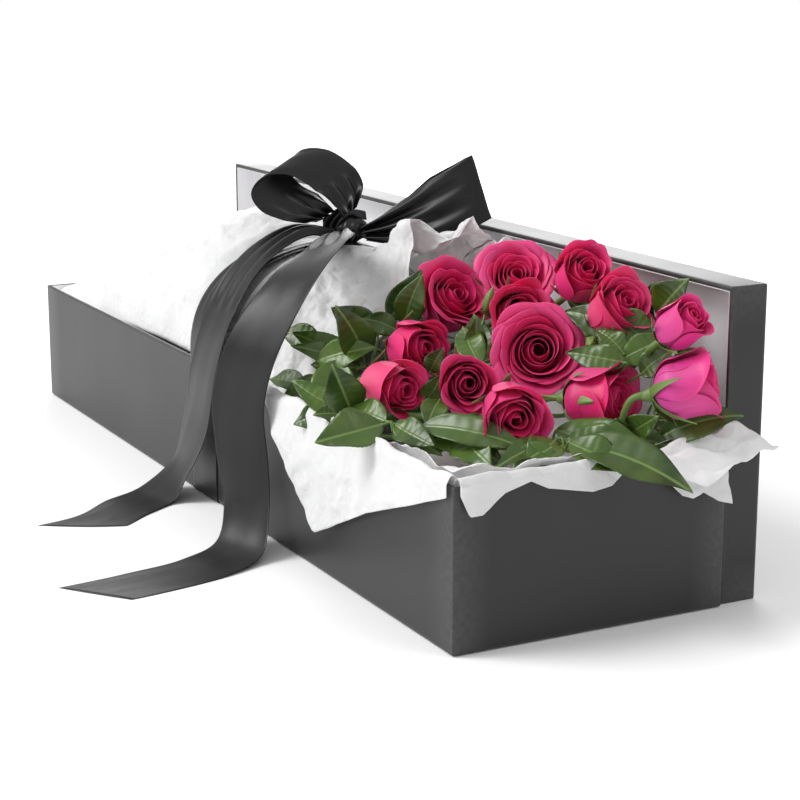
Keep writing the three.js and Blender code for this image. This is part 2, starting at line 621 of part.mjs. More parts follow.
addPiece("ribbon_tail_right", strip(rightTail, ribbonWidth, ribbonThickness, 30), material.satin);

export default object;
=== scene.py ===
import math
import bpy
import numpy as np
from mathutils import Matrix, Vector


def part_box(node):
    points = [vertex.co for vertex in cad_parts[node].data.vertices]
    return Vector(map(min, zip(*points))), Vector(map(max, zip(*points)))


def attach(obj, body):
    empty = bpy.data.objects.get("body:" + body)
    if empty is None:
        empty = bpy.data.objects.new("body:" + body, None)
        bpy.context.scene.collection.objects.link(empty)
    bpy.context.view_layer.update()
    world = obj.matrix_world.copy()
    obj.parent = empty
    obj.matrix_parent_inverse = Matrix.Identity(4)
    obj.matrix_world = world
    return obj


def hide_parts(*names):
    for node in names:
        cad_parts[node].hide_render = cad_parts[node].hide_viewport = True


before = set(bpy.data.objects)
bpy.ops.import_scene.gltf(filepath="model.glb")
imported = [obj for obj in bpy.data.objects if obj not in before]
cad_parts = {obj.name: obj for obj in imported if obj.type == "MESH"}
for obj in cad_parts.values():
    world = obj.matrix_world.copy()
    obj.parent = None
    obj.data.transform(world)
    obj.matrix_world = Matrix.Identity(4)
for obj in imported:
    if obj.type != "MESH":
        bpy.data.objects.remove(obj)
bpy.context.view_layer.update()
mm = 0.001

# Places taken from the frame.
trayLow, trayHigh = [np.array(c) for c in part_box("tray_wrap")]
lidLow, lidHigh = [np.array(c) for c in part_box("lid_wrap")]
rim = trayHigh[2]
nearEnd = trayHigh[0]
halfWide = trayHigh[1]
linerLow, linerHigh = [np.array(c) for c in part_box("tissue_lining")]
lining = {"x": linerHigh[0], "y": linerHigh[1], "floor": linerLow[2]}


# A point given in mm as back from the near end, across, and above the rim.
def place(back, across, above):
    return np.array([nearEnd - back * mm, across * mm, rim + above * mm])


# Arrays of numbers made into one array of points, each part stretched to the largest.
def joined(*parts):
    return np.stack(np.broadcast_arrays(*parts), -1)


def unit(v):
    v = np.asarray(v, float)
    return v / np.maximum(np.linalg.norm(v, axis=-1, keepdims=True), 1e-12)


def smooth(x, low, high):
    t = np.clip((np.asarray(x, float) - low) / (high - low), 0, 1)
    return t * t * (3 - 2 * t)


# Meshes from arrays.
def gridFaces(rows, columns, closeRows=False, closeColumns=False):
    i = np.arange(rows if closeRows else rows - 1)[:, None]
    j = np.arange(columns if closeColumns else columns - 1)[None, :]
    a = i * columns + j
    b = ((i + 1) % rows) * columns + j
    c = ((i + 1) % rows) * columns + (j + 1) % columns
    d = i * columns + (j + 1) % columns
    return joined(a, b, c, d).reshape(-1, 4)


def gridUv(rows, columns):
    u, v = np.meshgrid(np.linspace(0, 1, rows), np.linspace(0, 1, columns), indexing="ij")
    return joined(u, v).reshape(-1, 2)


# One grid of points with its finish, its three shade numbers and its uv.
def patch(points, slot=0, shade=(0, 0, 0), uv=None, closeRows=False, closeColumns=False):
    rows, columns = points.shape[:2]
    shades = np.broadcast_to(np.asarray(shade, float), (rows, columns, 3)).reshape(-1, 3)
    return {
        "points": points.reshape(-1, 3),
        "faces": gridFaces(rows, columns, closeRows, closeColumns),
        "slot": slot,
        "shade": shades,
        "uv": gridUv(rows, columns) if uv is None else uv.reshape(-1, 2),
    }


# Joins patches into one object, then gives it a wall and a smoother surface if asked.
def makePiece(name, patches, materials, thickness=0.0, subdivide=0):
    points = np.concatenate([p["points"] for p in patches])
    starts = np.cumsum([0] + [len(p["points"]) for p in patches])[:-1]
    faces = np.concatenate([p["faces"] + s for p, s in zip(patches, starts)])
    slots = np.concatenate([np.full(len(p["faces"]), p["slot"]) for p in patches])
    shades = np.concatenate([p["shade"] for p in patches])
    uvs = np.concatenate([p["uv"] for p in patches])
    mesh = bpy.data.meshes.new(name)
    mesh.from_pydata(points.tolist(), [], faces.tolist())
    mesh.polygons.foreach_set("material_index", slots.astype(np.int32))
    mesh.polygons.foreach_set("use_smooth", np.ones(len(faces), bool))
    layer = mesh.uv_layers.new(name="uv")
    layer.data.foreach_set("uv", uvs[faces.ravel()].astype(np.float32).ravel())
    shadeLayer = mesh.color_attributes.new("shade", "FLOAT_COLOR", "POINT")
    rgba = np.concatenate([shades, np.ones((len(shades), 1))], 1)
    shadeLayer.data.foreach_set("color", rgba.astype(np.float32).ravel())
    for material in materials:
        mesh.materials.append(material)
    mesh.update()
    piece = bpy.data.objects.new(name, mesh)
    bpy.context.scene.collection.objects.link(piece)
    if thickness:
        wall = piece.modifiers.new("wall", "SOLIDIFY")
        wall.thickness = thickness
        wall.offset = 0
    if subdivide:
        finer = piece.modifiers.new("finer", "SUBSURF")
        finer.levels = finer.render_levels = subdivide
    return piece


def settle(piece, body, nodes):
    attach(piece, body)
    if nodes:
        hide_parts(*nodes)
    return piece


# Curves and creases.
# A smooth line through the points: each span is a cubic whose knots are spaced by the square root of
# the distance between points, as a hanging strip or stem runs.
def centripetal(points, count):
    p = np.asarray(points, float)
    p = np.vstack([2 * p[0] - p[1], p, 2 * p[-1] - p[-2]])
    gaps = np.maximum(np.linalg.norm(np.diff(p, axis=0), axis=1), 1e-9) ** 0.5
    t = np.concatenate([[0], np.cumsum(gaps)])
    spans = len(p) - 3
    s = np.linspace(0, spans, count)
    k = np.minimum(s.astype(int), spans - 1)
    x = t[k + 1] + (s - k) * (t[k + 2] - t[k + 1])
    t0, t1, t2, t3 = t[k], t[k + 1], t[k + 2], t[k + 3]

    def mix(a, b, ta, tb):
        return (a.T * (tb - x) / (tb - ta) + b.T * (x - ta) / (tb - ta)).T

    a1 = mix(p[k], p[k + 1], t0, t1)
    a2 = mix(p[k + 1], p[k + 2], t1, t2)
    a3 = mix(p[k + 2], p[k + 3], t2, t3)
    b1 = mix(a1, a2, t0, t2)
    b2 = mix(a2, a3, t1, t3)
    return mix(b1, b2, t1, t2)


# Values at the stations, read off at even steps between them.
def along(values, count):
    v = np.asarray(values, float)
    s = np.linspace(0, len(v) - 1, count)
    if v.ndim == 1:
        return np.interp(s, np.arange(len(v)), v)
    return joined(*[np.interp(s, np.arange(len(v)), v[:, i]) for i in range(v.shape[1])])


# Creased paper: the mean of triangle waves that run in random directions across p and q, each bent a
# little by a slow sine, so that it is flat between sharp folds. From -0.5 to 0.5.
def crumple(p, q, size, seed, waves=9):
    rng = np.random.default_rng(seed)
    total = np.zeros(np.broadcast(p, q).shape)
    for _ in range(waves):
        turn, phase, bend = rng.uniform(0, math.pi), rng.uniform(0, 1), rng.uniform(0, 6.28)
        rate = rng.uniform(0.5, 1.5) / size
        run = p * math.cos(turn) + q * math.sin(turn)
        side = q * math.cos(turn) - p * math.sin(turn)
        wave = (run * rate + phase + 0.32 * np.sin(side * rate * 2.1 + bend)) % 1
        total = total + np.abs(wave - 0.5) * 2 / rate / size
    return total / waves - 0.5


def gridNormals(points):
    du = np.gradient(points, axis=0)
    dv = np.gradient(points, axis=1)
    return unit(np.cross(du, dv))


# A round stalk: a ring of the given radius carried along the line on a frame that turns with it,
# closed by rings of no size at both ends.
def tube(line, radius, sides=10, slot=0, shade=(0, 0, 0)):
    line = np.asarray(line, float)
    radii = np.broadcast_to(np.asarray(radius, float), (len(line),)).copy()
    line = np.vstack([line[:1], line, line[-1:]])
    radii = np.concatenate([[1e-6], radii, [1e-6]])
    way = unit(np.gradient(line, axis=0) + 1e-12)
    way[0], way[-1] = way[1], way[-2]
    up = np.array([0.13, 0.2, 0.97])
    a = unit(np.cross(way, up))
    b = np.cross(way, a)
    turn = np.linspace(0, 2 * math.pi, sides, endpoint=False)
    ring = a[:, None] * np.cos(turn)[None, :, None] + b[:, None] * np.sin(turn)[None, :, None]
    points = line[:, None] + ring * radii[:, None, None]
    return patch(points, slot, shade, closeColumns=True)


# Finishes.
def finish(name, **values):
    m = bpy.data.materials.new(name)
    m.use_nodes = True
    shader = m.node_tree.nodes["Principled BSDF"]
    for key, value in values.items():
        shader.inputs[key].default_value = value
    return m, m.node_tree, shader


def add(tree, kind, **values):
    n = tree.nodes.new("ShaderNode" + kind)
    for key, value in values.items():
        if key in n.inputs:
            n.inputs[key].default_value = value
        else:
            setattr(n, key, value)
    return n


def ramp(tree, source, stops):
    n = add(tree, "ValToRGB")
    while len(n.color_ramp.elements) < len(stops):
        n.color_ramp.elements.new(0.5)
    for element, (at, colour) in zip(n.color_ramp.elements, stops):
        element.position = at
        element.color = (*colour, 1)
    tree.links.new(source, n.inputs[0])
    return n.outputs[0]


def mixColour(tree, factor, first, second, blend="MIX"):
    n = add(tree, "Mix", data_type="RGBA", blend_type=blend)
    for socket, value in ((n.inputs[0], factor), (n.inputs[6], first), (n.inputs[7], second)):
        if isinstance(value, (int, float)):
            socket.default_value = value
        elif isinstance(value, tuple):
            socket.default_value = (*value, 1)
        else:
            tree.links.new(value, socket)
    return n.outputs[2]


def bump(tree, shader, height, distance, strength=1.0, under=None):
    n = add(tree, "Bump", Strength=strength, Distance=distance)
    tree.links.new(height, n.inputs["Height"])
    if under is not None:
        tree.links.new(under.outputs[0], n.inputs["Normal"])
    tree.links.new(n.outputs[0], shader.inputs["Normal"])
    return n


def coordinates(tree, output, scale):
    source = add(tree, "TexCoord")
    fit = add(tree, "Mapping", Scale=scale)
    tree.links.new(source.outputs[output], fit.inputs["Vector"])
    return fit.outputs[0]


def noise(tree, at, scale, detail=3.0, roughness=0.5):
    n = add(tree, "TexNoise", Scale=scale, Detail=detail, Roughness=roughness)
    tree.links.new(at, n.inputs["Vector"])
    return n.outputs["Fac"]


def shadeParts(tree):
    n = add(tree, "VertexColor", layer_name="shade")
    s = add(tree, "SeparateColor")
    tree.links.new(n.outputs["Color"], s.inputs[0])
    return s.outputs


def toSocket(tree, source, shader, name, low, high):
    n = add(tree, "MapRange")
    n.inputs["To Min"].default_value = low
    n.inputs["To Max"].default_value = high
    tree.links.new(source, n.inputs["Value"])
    tree.links.new(n.outputs[0], shader.inputs[name])


def coveringFinish():
    m, tree, shader = finish("coveringPaper", Roughness=0.4)
    shader.inputs["Specular IOR Level"].default_value = 0.42
    at = coordinates(tree, "Object", (1, 1, 1))
    cloud = noise(tree, at, 9, 5)
    grain = noise(tree, at, 900, 2)
    base = ramp(tree, cloud, [(0.3, (0.014, 0.014, 0.015)), (0.7, (0.022, 0.0215, 0.022))])
    worn = shadeParts(tree)[0]
    scuff = noise(tree, at, 240, 4)
    wear = add(tree, "Math", operation="MULTIPLY")
    tree.links.new(worn, wear.inputs[0])
    tree.links.new(scuff, wear.inputs[1])
    colour = mixColour(tree, wear.outputs[0], base, (0.09, 0.088, 0.085))
    tree.links.new(colour, shader.inputs["Base Color"])
    toSocket(tree, cloud, shader, "Roughness", 0.34, 0.5)
    first = bump(tree, shader, grain, 0.00006, 0.5)
    bump(tree, shader, noise(tree, at, 35, 3), 0.0004, 0.25, first)
    return m


def liningFinish():
    m, tree, shader = finish("liningPaper", Roughness=0.6)
    at = coordinates(tree, "Object", (1, 1, 1))
    cloud = noise(tree, at, 7, 4)
    tree.links.new(ramp(tree, cloud, [(0.3, (0.80, 0.79, 0.815)), (0.7, (0.88, 0.87, 0.885))]),
                   shader.inputs["Base Color"])
    bump(tree, shader, noise(tree, at, 700, 2), 0.00005, 0.4)
    return m


def boardFinish(name, low, high):
    m, tree, shader = finish(name, Roughness=0.9)
    at = coordinates(tree, "Object", (1, 1, 1))
    speck = noise(tree, at, 600, 6, 0.7)
    tree.links.new(ramp(tree, speck, [(0.3, low), (0.7, high)]), shader.inputs["Base Color"])
    bump(tree, shader, speck, 0.00015, 0.6)
    return m


def tissueFinish():
    m, tree, shader = finish("tissuePaper", Roughness=0.62)
    shader.inputs["Subsurface Weight"].default_value = 0.35
    shader.inputs["Subsurface Radius"].default_value = (1, 1, 1)
    shader.inputs["Subsurface Scale"].default_value = 0.004
    at = coordinates(tree, "Object", (1, 1, 1))
    cloud = noise(tree, at, 22, 5)
    colour = ramp(tree, cloud, [(0.3, (0.87, 0.873, 0.877)), (0.7, (0.93, 0.93, 0.926))])
    tree.links.new(colour, shader.inputs["Base Color"])
    crease = add(tree, "TexVoronoi", feature="DISTANCE_TO_EDGE", Scale=70)
    warp = add(tree, "VectorMath", operation="ADD")
    shift = add(tree, "TexNoise", Scale=40, Detail=2)
    tree.links.new(at, shift.inputs["Vector"])
    less = add(tree, "VectorMath", operation="SCALE", Scale=0.03)
    tree.links.new(shift.outputs["Color"], less.inputs[0])
    tree.links.new(at, warp.inputs[0])
    tree.links.new(less.outputs[0], warp.inputs[1])
    tree.links.new(warp.outputs[0], crease.inputs["Vector"])
    first = bump(tree, shader, crease.outputs["Distance"], 0.004, 0.35)
    bump(tree, shader, noise(tree, at, 220, 4, 0.6), 0.0006, 0.4, first)
    return m


def satinFinish():
    m, tree, shader = finish("blackSatin", Roughness=0.34, Anisotropic=0.5)
    shader.inputs["Sheen Weight"].default_value = 0.04
    shader.inputs["Sheen Roughness"].default_value = 0.3
    shader.inputs["Specular IOR Level"].default_value = 0.34
    at = coordinates(tree, "UV", (1, 1, 1))
    across = coordinates(tree, "UV", (6, 500, 1))
    thread = noise(tree, across, 1.0, 2)
    colour = ramp(tree, thread, [(0.25, (0.004, 0.004, 0.005)), (0.75, (0.009, 0.009, 0.011))])
    edge = shadeParts(tree)[0]
    colour = mixColour(tree, edge, colour, (0.003, 0.003, 0.0035))
    tree.links.new(colour, shader.inputs["Base Color"])
    toSocket(tree, noise(tree, at, 9, 3), shader, "Roughness", 0.27, 0.42)
    first = bump(tree, shader, thread, 0.00005, 0.5)
    bump(tree, shader, edge, 0.0003, 0.8, first)
    tangent = add(tree, "Tangent", direction_type="UV_MAP", uv_map="uv")
    tree.links.new(tangent.outputs[0], shader.inputs["Tangent"])
    return m


# Crimson between the inner petals, darkening towards their bases as painted shade deep in the bloom, and on
# the outer ones the three given colours from base to lip.
# Shade holds: how far out the petal is, how far up it, and how pale it is.
def petalFinish(name, backs, outsides, tips):
    m, tree, shader = finish(name, Roughness=0.5)
    shader.inputs["Subsurface Weight"].default_value = 0.2
    shader.inputs["Subsurface Radius"].default_value = (1, 0.25, 0.3)
    shader.inputs["Subsurface Scale"].default_value = 0.003
    shader.inputs["Sheen Weight"].default_value = 0.12
    shader.inputs["Sheen Roughness"].default_value = 0.4
    shader.inputs["Sheen Tint"].default_value = (1.0, 0.6, 0.75, 1)
    outward, upward, chance = shadeParts(tree)[:3]
    # Inner petals: crimson that darkens towards each petal's base, painted shade deep in the heart of the
    # bloom.
    inner = ramp(tree, upward, [(0.0, (0.17, 0.001, 0.025)), (0.6, (0.52, 0.002, 0.07)),
                                (1.0, (0.78, 0.006, 0.13))])
    outer = ramp(tree, upward, [(0.0, backs), (0.3, outsides), (1.0, tips)])
    colour = mixColour(tree, outward, inner, outer)
    paler = mixColour(tree, chance, colour, (0.74, 0.10, 0.33))
    at = coordinates(tree, "UV", (3, 60, 1))
    vein = noise(tree, at, 1.0, 3)
    spot = noise(tree, coordinates(tree, "Object", (1, 1, 1)), 160, 3)
    veinTone = ramp(tree, vein, [(0.3, (0.35, 0.35, 0.35)), (0.7, (0.65, 0.65, 0.65))])
    streak = mixColour(tree, 0.35, paler, veinTone, "OVERLAY")
    spotTone = ramp(tree, spot, [(0.3, (0.4, 0.4, 0.4)), (0.7, (0.6, 0.6, 0.6))])
    colour = mixColour(tree, 0.2, streak, spotTone, "OVERLAY")
    tree.links.new(colour, shader.inputs["Base Color"])
    first = bump(tree, shader, vein, 0.0003, 0.35)
    bump(tree, shader, spot, 0.0004, 0.2, first)
    return m


# Leaf and stem green. Shade holds: how bright the leaf is, and the distance from its midrib.
def greenFinish(name, low, high, roughness, veinWidth):
    m, tree, shader = finish(name, Roughness=roughness)
    shader.inputs["Specular IOR Level"].default_value = 0.55
    bright, rib = shadeParts(tree)[:2]
    at = coordinates(tree, "Object", (1, 1, 1))
    patchy = noise(tree, at, 60, 4)
    base = mixColour(tree, bright, low, high)
    blotch = ramp(tree, patchy, [(0.42, (0, 0, 0)), (0.8, (0.5, 0.5, 0.5))])
    warm = mixColour(tree, blotch, base, (0.11, 0.16, 0.015))
    line = ramp(tree, rib, [(0.0, (1, 1, 1)), (veinWidth, (0, 0, 0))])
    colour = mixColour(tree, line, warm, (0.15, 0.24, 0.06))
    tree.links.new(colour, shader.inputs["Base Color"])
    toSocket(tree, patchy, shader, "Roughness", roughness - 0.08, roughness + 0.1)
    at = coordinates(tree, "UV", (1, 1, 1))
    side = add(tree, "TexWave", Scale=2.6, Distortion=2.0, Detail=1.0)
    side.bands_direction = "X"
    tree.links.new(at, side.inputs["Vector"])
    first = bump(tree, shader, side.outputs["Fac"], 0.0006, 0.25)
    bump(tree, shader, line, 0.0005, 0.5, first)
    return m


print("finishes")
paper = {
    "covering": coveringFinish(),
    "lining": liningFinish(),
    "board": boardFinish("greyboard", (0.26, 0.245, 0.22), (0.42, 0.40, 0.37)),
    "stay": boardFinish("gummedPaper", (0.40, 0.28, 0.15), (0.54, 0.40, 0.24)),
    "tissue": tissueFinish(),
}
satin = satinFinish()
petalLooks = {
    "hot": petalFinish("hotPetal", (0.62, 0.16, 0.28), (0.70, 0.015, 0.17), (0.78, 0.008, 0.135)),
    "salmon": petalFinish("salmonPetal", (0.70, 0.28, 0.24), (0.74, 0.06, 0.15), (0.80, 0.012, 0.12)),
    "lilac": petalFinish("lilacPetal", (0.60, 0.14, 0.36), (0.66, 0.035, 0.30), (0.70, 0.010, 0.20)),
}
stemLook = greenFinish("roseStem", (0.07, 0.15, 0.03), (0.20, 0.30, 0.08), 0.5, 0.02)
leafLook = greenFinish("leaf", (0.008, 0.028, 0.005), (0.075, 0.155, 0.012), 0.33, 0.09)

# Camera, floor and light.
camera = {"at": (1.3568, -0.6321, 0.4170), "turn": 152.586, "down": 13.19, "lens": 86.25}
light = {
    "sun": {"aim": (0.30, 0.62, -0.72), "strength": 1.7, "angle": 28},
    "key": {"at": (-0.5, -1.5, 1.1), "aim": (0.1, 0, 0.12), "size": 0.9, "watts": 9},
    "side": {"at": (1.9, 0.9, 1.5), "aim": (0.2, 0, 0.12), "size": 0.8, "watts": 5},
    "back": {"at": (-2.2, 1.3, 0.95), "aim": (0.1, 0, 0.15), "size": 1.6, "watts": 30},
    "world": 0.66, "backdrop": 1.0,
}


def aimAt(obj, target):
    way = np.array(target) - np.array(obj.location)
    obj.rotation_euler = (math.atan2(math.hypot(way[0], way[1]), -way[2]), 0,
                          math.atan2(way[1], way[0]) - math.pi / 2)


lens = bpy.data.cameras.new("camera")
lens.lens, lens.sensor_width, lens.clip_end = camera["lens"], 36, 50
eye = bpy.data.objects.new("camera", lens)
eye.location = camera["at"]
eye.rotation_euler = (math.radians(90 - camera["down"]), 0, math.radians(camera["turn"] - 90))
bpy.context.scene.collection.objects.link(eye)
bpy.context.scene.camera = eye
for name in ("key", "side", "back"):
    lamp = bpy.data.lights.new(name, "AREA")
    lamp.energy, lamp.size = light[name]["watts"], light[name]["size"]
    lampObject = bpy.data.objects.new(name, lamp)
    lampObject.location = light[name]["at"]
    aimAt(lampObject, light[name]["aim"])
    lampObject.visible_camera = False
    bpy.context.scene.collection.objects.link(lampObject)
sun = bpy.data.lights.new("sun", "SUN")
sun.energy, sun.angle = light["sun"]["strength"], math.radians(light["sun"]["angle"])
sunObject = bpy.data.objects.new("sun", sun)
sunObject.location = -np.array(light["sun"]["aim"])
aimAt(sunObject, (0, 0, 0))
bpy.context.scene.collection.objects.link(sunObject)
world = bpy.context.scene.world or bpy.data.worlds.new("world")
bpy.context.scene.world = world
world.use_nodes = True
sky = world.node_tree
around = sky.nodes["Background"]
around.inputs[0].default_value = (1, 1, 1, 1)
seen = add(sky, "LightPath")
strength = add(sky, "MapRange")
strength.inputs["To Min"].default_value = light["world"]
strength.inputs["To Max"].default_value = light["backdrop"]
sky.links.new(seen.outputs["Is Camera Ray"], strength.inputs["Value"])
sky.links.new(strength.outputs[0], around.inputs[1])
bpy.context.scene.view_settings.view_transform = "Standard"
floorLook, _, floorShader = finish("paleFloor", Roughness=0.75)
floorShader.inputs["Base Color"].default_value = (0.98, 0.98, 0.98, 1)
floorReach = 3.0
floorPoints = np.array([[[-floorReach, -floorReach, 0], [floorReach, -floorReach, 0]],
                        [[-floorReach, floorReach, 0], [floorReach, floorReach, 0]]])[:, ::-1]
floor = makePiece("floor", [patch(floorPoints)], [floorLook])

# Tray and lid.
box = {
    "paper": 0.3, "layers": 3.3, "liner": 3.75, "linerFloor": 2.55, "linerDrop": 0.6,  # all mm
    "corner": 1.2, "turnIn": 16, "floorRing": 12,
}


# A rectangle with round corners: straight runs in even steps joined by quarter circles.
def roundedRing(halfX, halfY, radius, longSteps=24, shortSteps=8, arcSteps=6):
    r = max(radius, 0.00005)
    corners = [(halfX - r, -halfY + r, -90), (halfX - r, halfY - r, 0),
               (-halfX + r, halfY - r, 90), (-halfX + r, -halfY + r, 180)]
    points = []
    for k, (x, y, start) in enumerate(corners):
        turn = np.radians(start + np.linspace(0, 90, arcSteps))
        points.append(joined(x + r * np.cos(turn), y + r * np.sin(turn)))
        nextX, nextY, _ = corners[(k + 1) % 4]
        last = points[-1][-1]
        ahead = np.radians(start + 90)
        first = np.array([nextX + r * np.cos(ahead), nextY + r * np.sin(ahead)])
        steps = shortSteps if k % 2 == 0 else longSteps
        t = np.linspace(0, 1, steps + 1)[1:-1, None]
        points.append(last + (first - last) * t)
    return np.concatenate(points)


# A skin round a box: each profile point is an inset from the outside and a height, and makes one
# ring. The first ring is closed with a flat floor.
def boxSkin(halfX, halfY, profile, corner, toWorld, wear):
    rings = []
    for inset, height in profile:
        ring = roundedRing(halfX - inset, halfY - inset, corner - inset)
        rings.append(np.column_stack([ring, np.full(len(ring), height)]))
    points = np.array(rings)
    arc = np.zeros(points.shape[1])
    one = len(arc) // 2
    for start in (0, 6 + 7, one, one + 6 + 7):
        arc[start:start + 6] = 1
    worn = np.maximum(np.array(wear)[:, None], arc[None] * 0.8)
    shade = joined(worn, worn * 0, worn * 0)
    skin = patch(toWorld(points), 0, shade, closeColumns=True)
    skin["floor"] = list(range(points.shape[1]))
    return skin


# The skin's rings become a mesh whose first ring is one flat face, with a paper's wall.
def boxPiece(name, skin, material, body, node):
    mesh = bpy.data.meshes.new(name)
    faces = [f[::-1] for f in skin["faces"].tolist()]
    mesh.from_pydata(skin["points"].tolist(), [], faces + [skin["floor"][::-1]])
    mesh.materials.append(material)
    shades = mesh.color_attributes.new("shade", "FLOAT_COLOR", "POINT")
    rgba = np.concatenate([skin["shade"], np.ones((len(skin["shade"]), 1))], 1)
    shades.data.foreach_set("color", rgba.astype(np.float32).ravel())
    smoothFaces = np.ones(len(faces) + 1, bool)
    smoothFaces[-1] = False
    mesh.polygons.foreach_set("use_smooth", smoothFaces)
    mesh.update()
    piece = bpy.data.objects.new(name, mesh)
    bpy.context.scene.collection.objects.link(piece)
    wall = piece.modifiers.new("wall", "SOLIDIFY")
    wall.thickness, wall.offset = box["paper"] * mm, 0
    return settle(piece, body, [node])


# A paper-covered box. The covering's profile, as insets from the outside and heights in mm, runs from
# under the floor up the wall, over the rim and down inside; the lining's runs from its floor up the
# inside.
def rigidBox(prefix, body, halfX, halfY, height, toWorld):
    t, inner, lined = box["paper"] / 2, box["layers"] - box["paper"] / 2, box["liner"]
    h = height / mm
    outside = [(box["floorRing"], t), (3, t), (1.2, t), (0.5, 0.3), (t, 0.9), (t, 2.5), (t, 10),
               (t, h / 2), (t, h - 5), (t, h - 1.6), (0.32, h - 0.75), (0.75, h - 0.32), (1.3, h - t),
               (2.1, h - t), (2.6, h - 0.3), (2.98, h - 0.75), (inner, h - 1.5), (inner, h - 8),
               (inner, h - box["turnIn"])]
    worn = [0, 0, 0.3, 0.9, 0.5, 0, 0, 0, 0, 0.25, 0.8, 0.8, 0.3, 0.3, 0.6, 0.3, 0, 0, 0]
    low, high = box["linerFloor"], h - box["linerDrop"]
    inside = [(lined + box["floorRing"], low), (lined + 1.2, low), (lined + 0.4, low + 0.4),
              (lined, low + 1.2), (lined, (low + high) / 2), (lined, high)]
    wrapSkin = boxSkin(halfX, halfY, np.array(outside) * mm, box["corner"] * mm, toWorld, worn)
    linerSkin = boxSkin(halfX, halfY, np.array(inside) * mm, (lined + 1) * mm, toWorld, [0] * 6)
    boxPiece(prefix + "Covering", wrapSkin, paper["covering"], body, prefix + "_wrap")
    boxPiece(prefix + "Lining", linerSkin, paper["lining"], body, prefix + "_liner")
    for node, look in (("_board", "board"), *((f"_corner_stay_{k}", "stay") for k in range(1, 5))):
        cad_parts[prefix + node].data.materials.clear()
        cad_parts[prefix + node].data.materials.append(paper[look])


traySize = trayHigh - trayLow
lidSize = lidHigh - lidLow
lidMiddle = (lidLow + lidHigh) / 2
rigidBox("tray", "tray", traySize[0] / 2, traySize[1] / 2, traySize[2],
         lambda p: p + np.array([0, 0, trayLow[2]]))
rigidBox("lid", "lid", lidSize[0] / 2, lidSize[2] / 2, lidSize[1],
         lambda p: joined(p[..., 0] + lidMiddle[0], lidHigh[1] - p[..., 2], p[..., 1] + lidMiddle[2]))
print("tray and lid")

# Ribbon.
ribbon = {"width": 0.050, "thickness": 0.0003, "pleats": 3, "crown": 0.088}
knotLow, knotHigh = [np.array(c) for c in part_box("ribbon_knot")]
knot = (knotLow + knotHigh) / 2
bandLow, bandHigh = [np.array(c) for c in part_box("ribbon_band")]


# Across and up on the arch over the bunch: a sine across and a cosine to the power 0.8 up.
def arch(turn, halfWidth, foot, crownZ):
    return -halfWidth * np.sin(turn), foot + (crownZ - foot) * np.maximum(np.cos(turn), 0) ** 0.8


# A ribbon along its stations. Where a station asks for a share of the width, the ribbon is drawn up
# into pleats whose slope keeps its real width. Slant cuts its far end on the skew.
def satinStrip(stations, rows=150, columns=31, slant=0.0, cup=0.0, seed=1):
    rng = np.random.default_rng(seed)
    dense = 500
    line = centripetal([s[0] for s in stations], dense)
    sides = unit(centripetal([s[1] for s in stations], dense))
    shares = along([s[2] for s in stations], dense)
    u = np.linspace(0, 1, rows)[:, None]
    v = np.linspace(-0.5, 0.5, columns)[None, :]
    reach = u * (1 - slant * (v + 0.5 if slant > 0 else v - 0.5))
    at = np.clip(reach, 0, 1) * (dense - 1)

    def pick(table):
        return joined(*[np.interp(at, np.arange(dense), table[:, i]) for i in range(3)])

    share = np.interp(at, np.arange(dense), shares)
    centre, side = pick(line), unit(pick(sides))
    way = unit(np.gradient(centre, axis=0))
    normal = unit(np.cross(way, side))
    share = np.clip(share, 0.2, 1)
    slope = np.sqrt(np.maximum(1 / share ** 2 - 1, 0))
    count = ribbon["pleats"]
    amount = ribbon["width"] * share / (4 * count) * slope * 0.9
    phase = rng.uniform(0, 1)
    fold = np.cos(2 * math.pi * (count * v + phase + 0.12 * np.sin(9 * reach)))
    ripple = 0.0007 * np.sin(2 * math.pi * (1.1 * v + 2.3 * reach + phase)) * (v * 2) ** 2
    lift = amount * fold + cup * (1 - (2 * v) ** 2) + ripple
    points = centre + side * (v * share * ribbon["width"])[..., None] + normal * lift[..., None]
    edge = smooth(np.abs(v), 0.47, 0.5) + 0 * u
    uv = joined(u + 0 * v, v + 0.5 + 0 * u)
    return points, joined(edge, edge * 0, edge * 0), uv


def ribbonPiece(name, node, strips):
    patches = [patch(points, 0, shade, uv) for points, shade, uv in strips]
    piece = makePiece(name, patches, [satin], thickness=ribbon["thickness"])
    settle(piece, "tray", [node])
    return piece


def fromKnot(stations):
    return [(knot + np.array(p) * mm, across, share) for p, across, share in stations]


# Each loop: the way its width lies, and its line as mm from the knot with its share of the width.
leftLoop = {
    "tilt": (-0.43, 0.84, 0.33),
    "run": [((0, -2, 12.5), 0.35), ((-10, 2, 24), 0.8), ((-21, -4, 38), 1), ((-31, -21, 51), 1),
            ((-35, -42, 51), 1), ((-30, -55, 39), 1), ((-20, -52, 27), 1), ((-11, -38, 19), 0.95),
            ((-6, -25, 14), 0.65), ((-8, -17, 11), 0.4)],
}
rightLoop = {
    "tilt": (-0.33, -0.16, 0.93),
    "run": [((14, 4, -2), 0.22), ((34, 22, 5), 0.62), ((66, 42, 21), 0.95), ((86, 60, 35), 1),
            ((89, 67, 39.5), 1), ((79, 66, 36), 1), ((52, 50, 22), 0.9), ((24, 30, 5), 0.5),
            ((8, 14, -1), 0.22)],
}
for name, loop, length in (("Left", leftLoop, 0.16), ("Right", rightLoop, 0.22)):
    stations = fromKnot([(p, loop["tilt"], share) for p, share in loop["run"]])
    ribbonPiece("ribbonLoop" + name, "ribbon_loop_" + name.lower(),
                [satinStrip(stations, seed=len(name))])


# A tail's line: a start in mm from the knot, then points in mm, each over the rim, the floor or the
# table, with the way the width lies there and the share of it.
def tailRun(start, stations):
    run = [(np.array((x, y, z)) * mm + np.array((0, 0, base)), across, share)
           for x, y, z, base, across, share in stations]
    return fromKnot([start]) + run


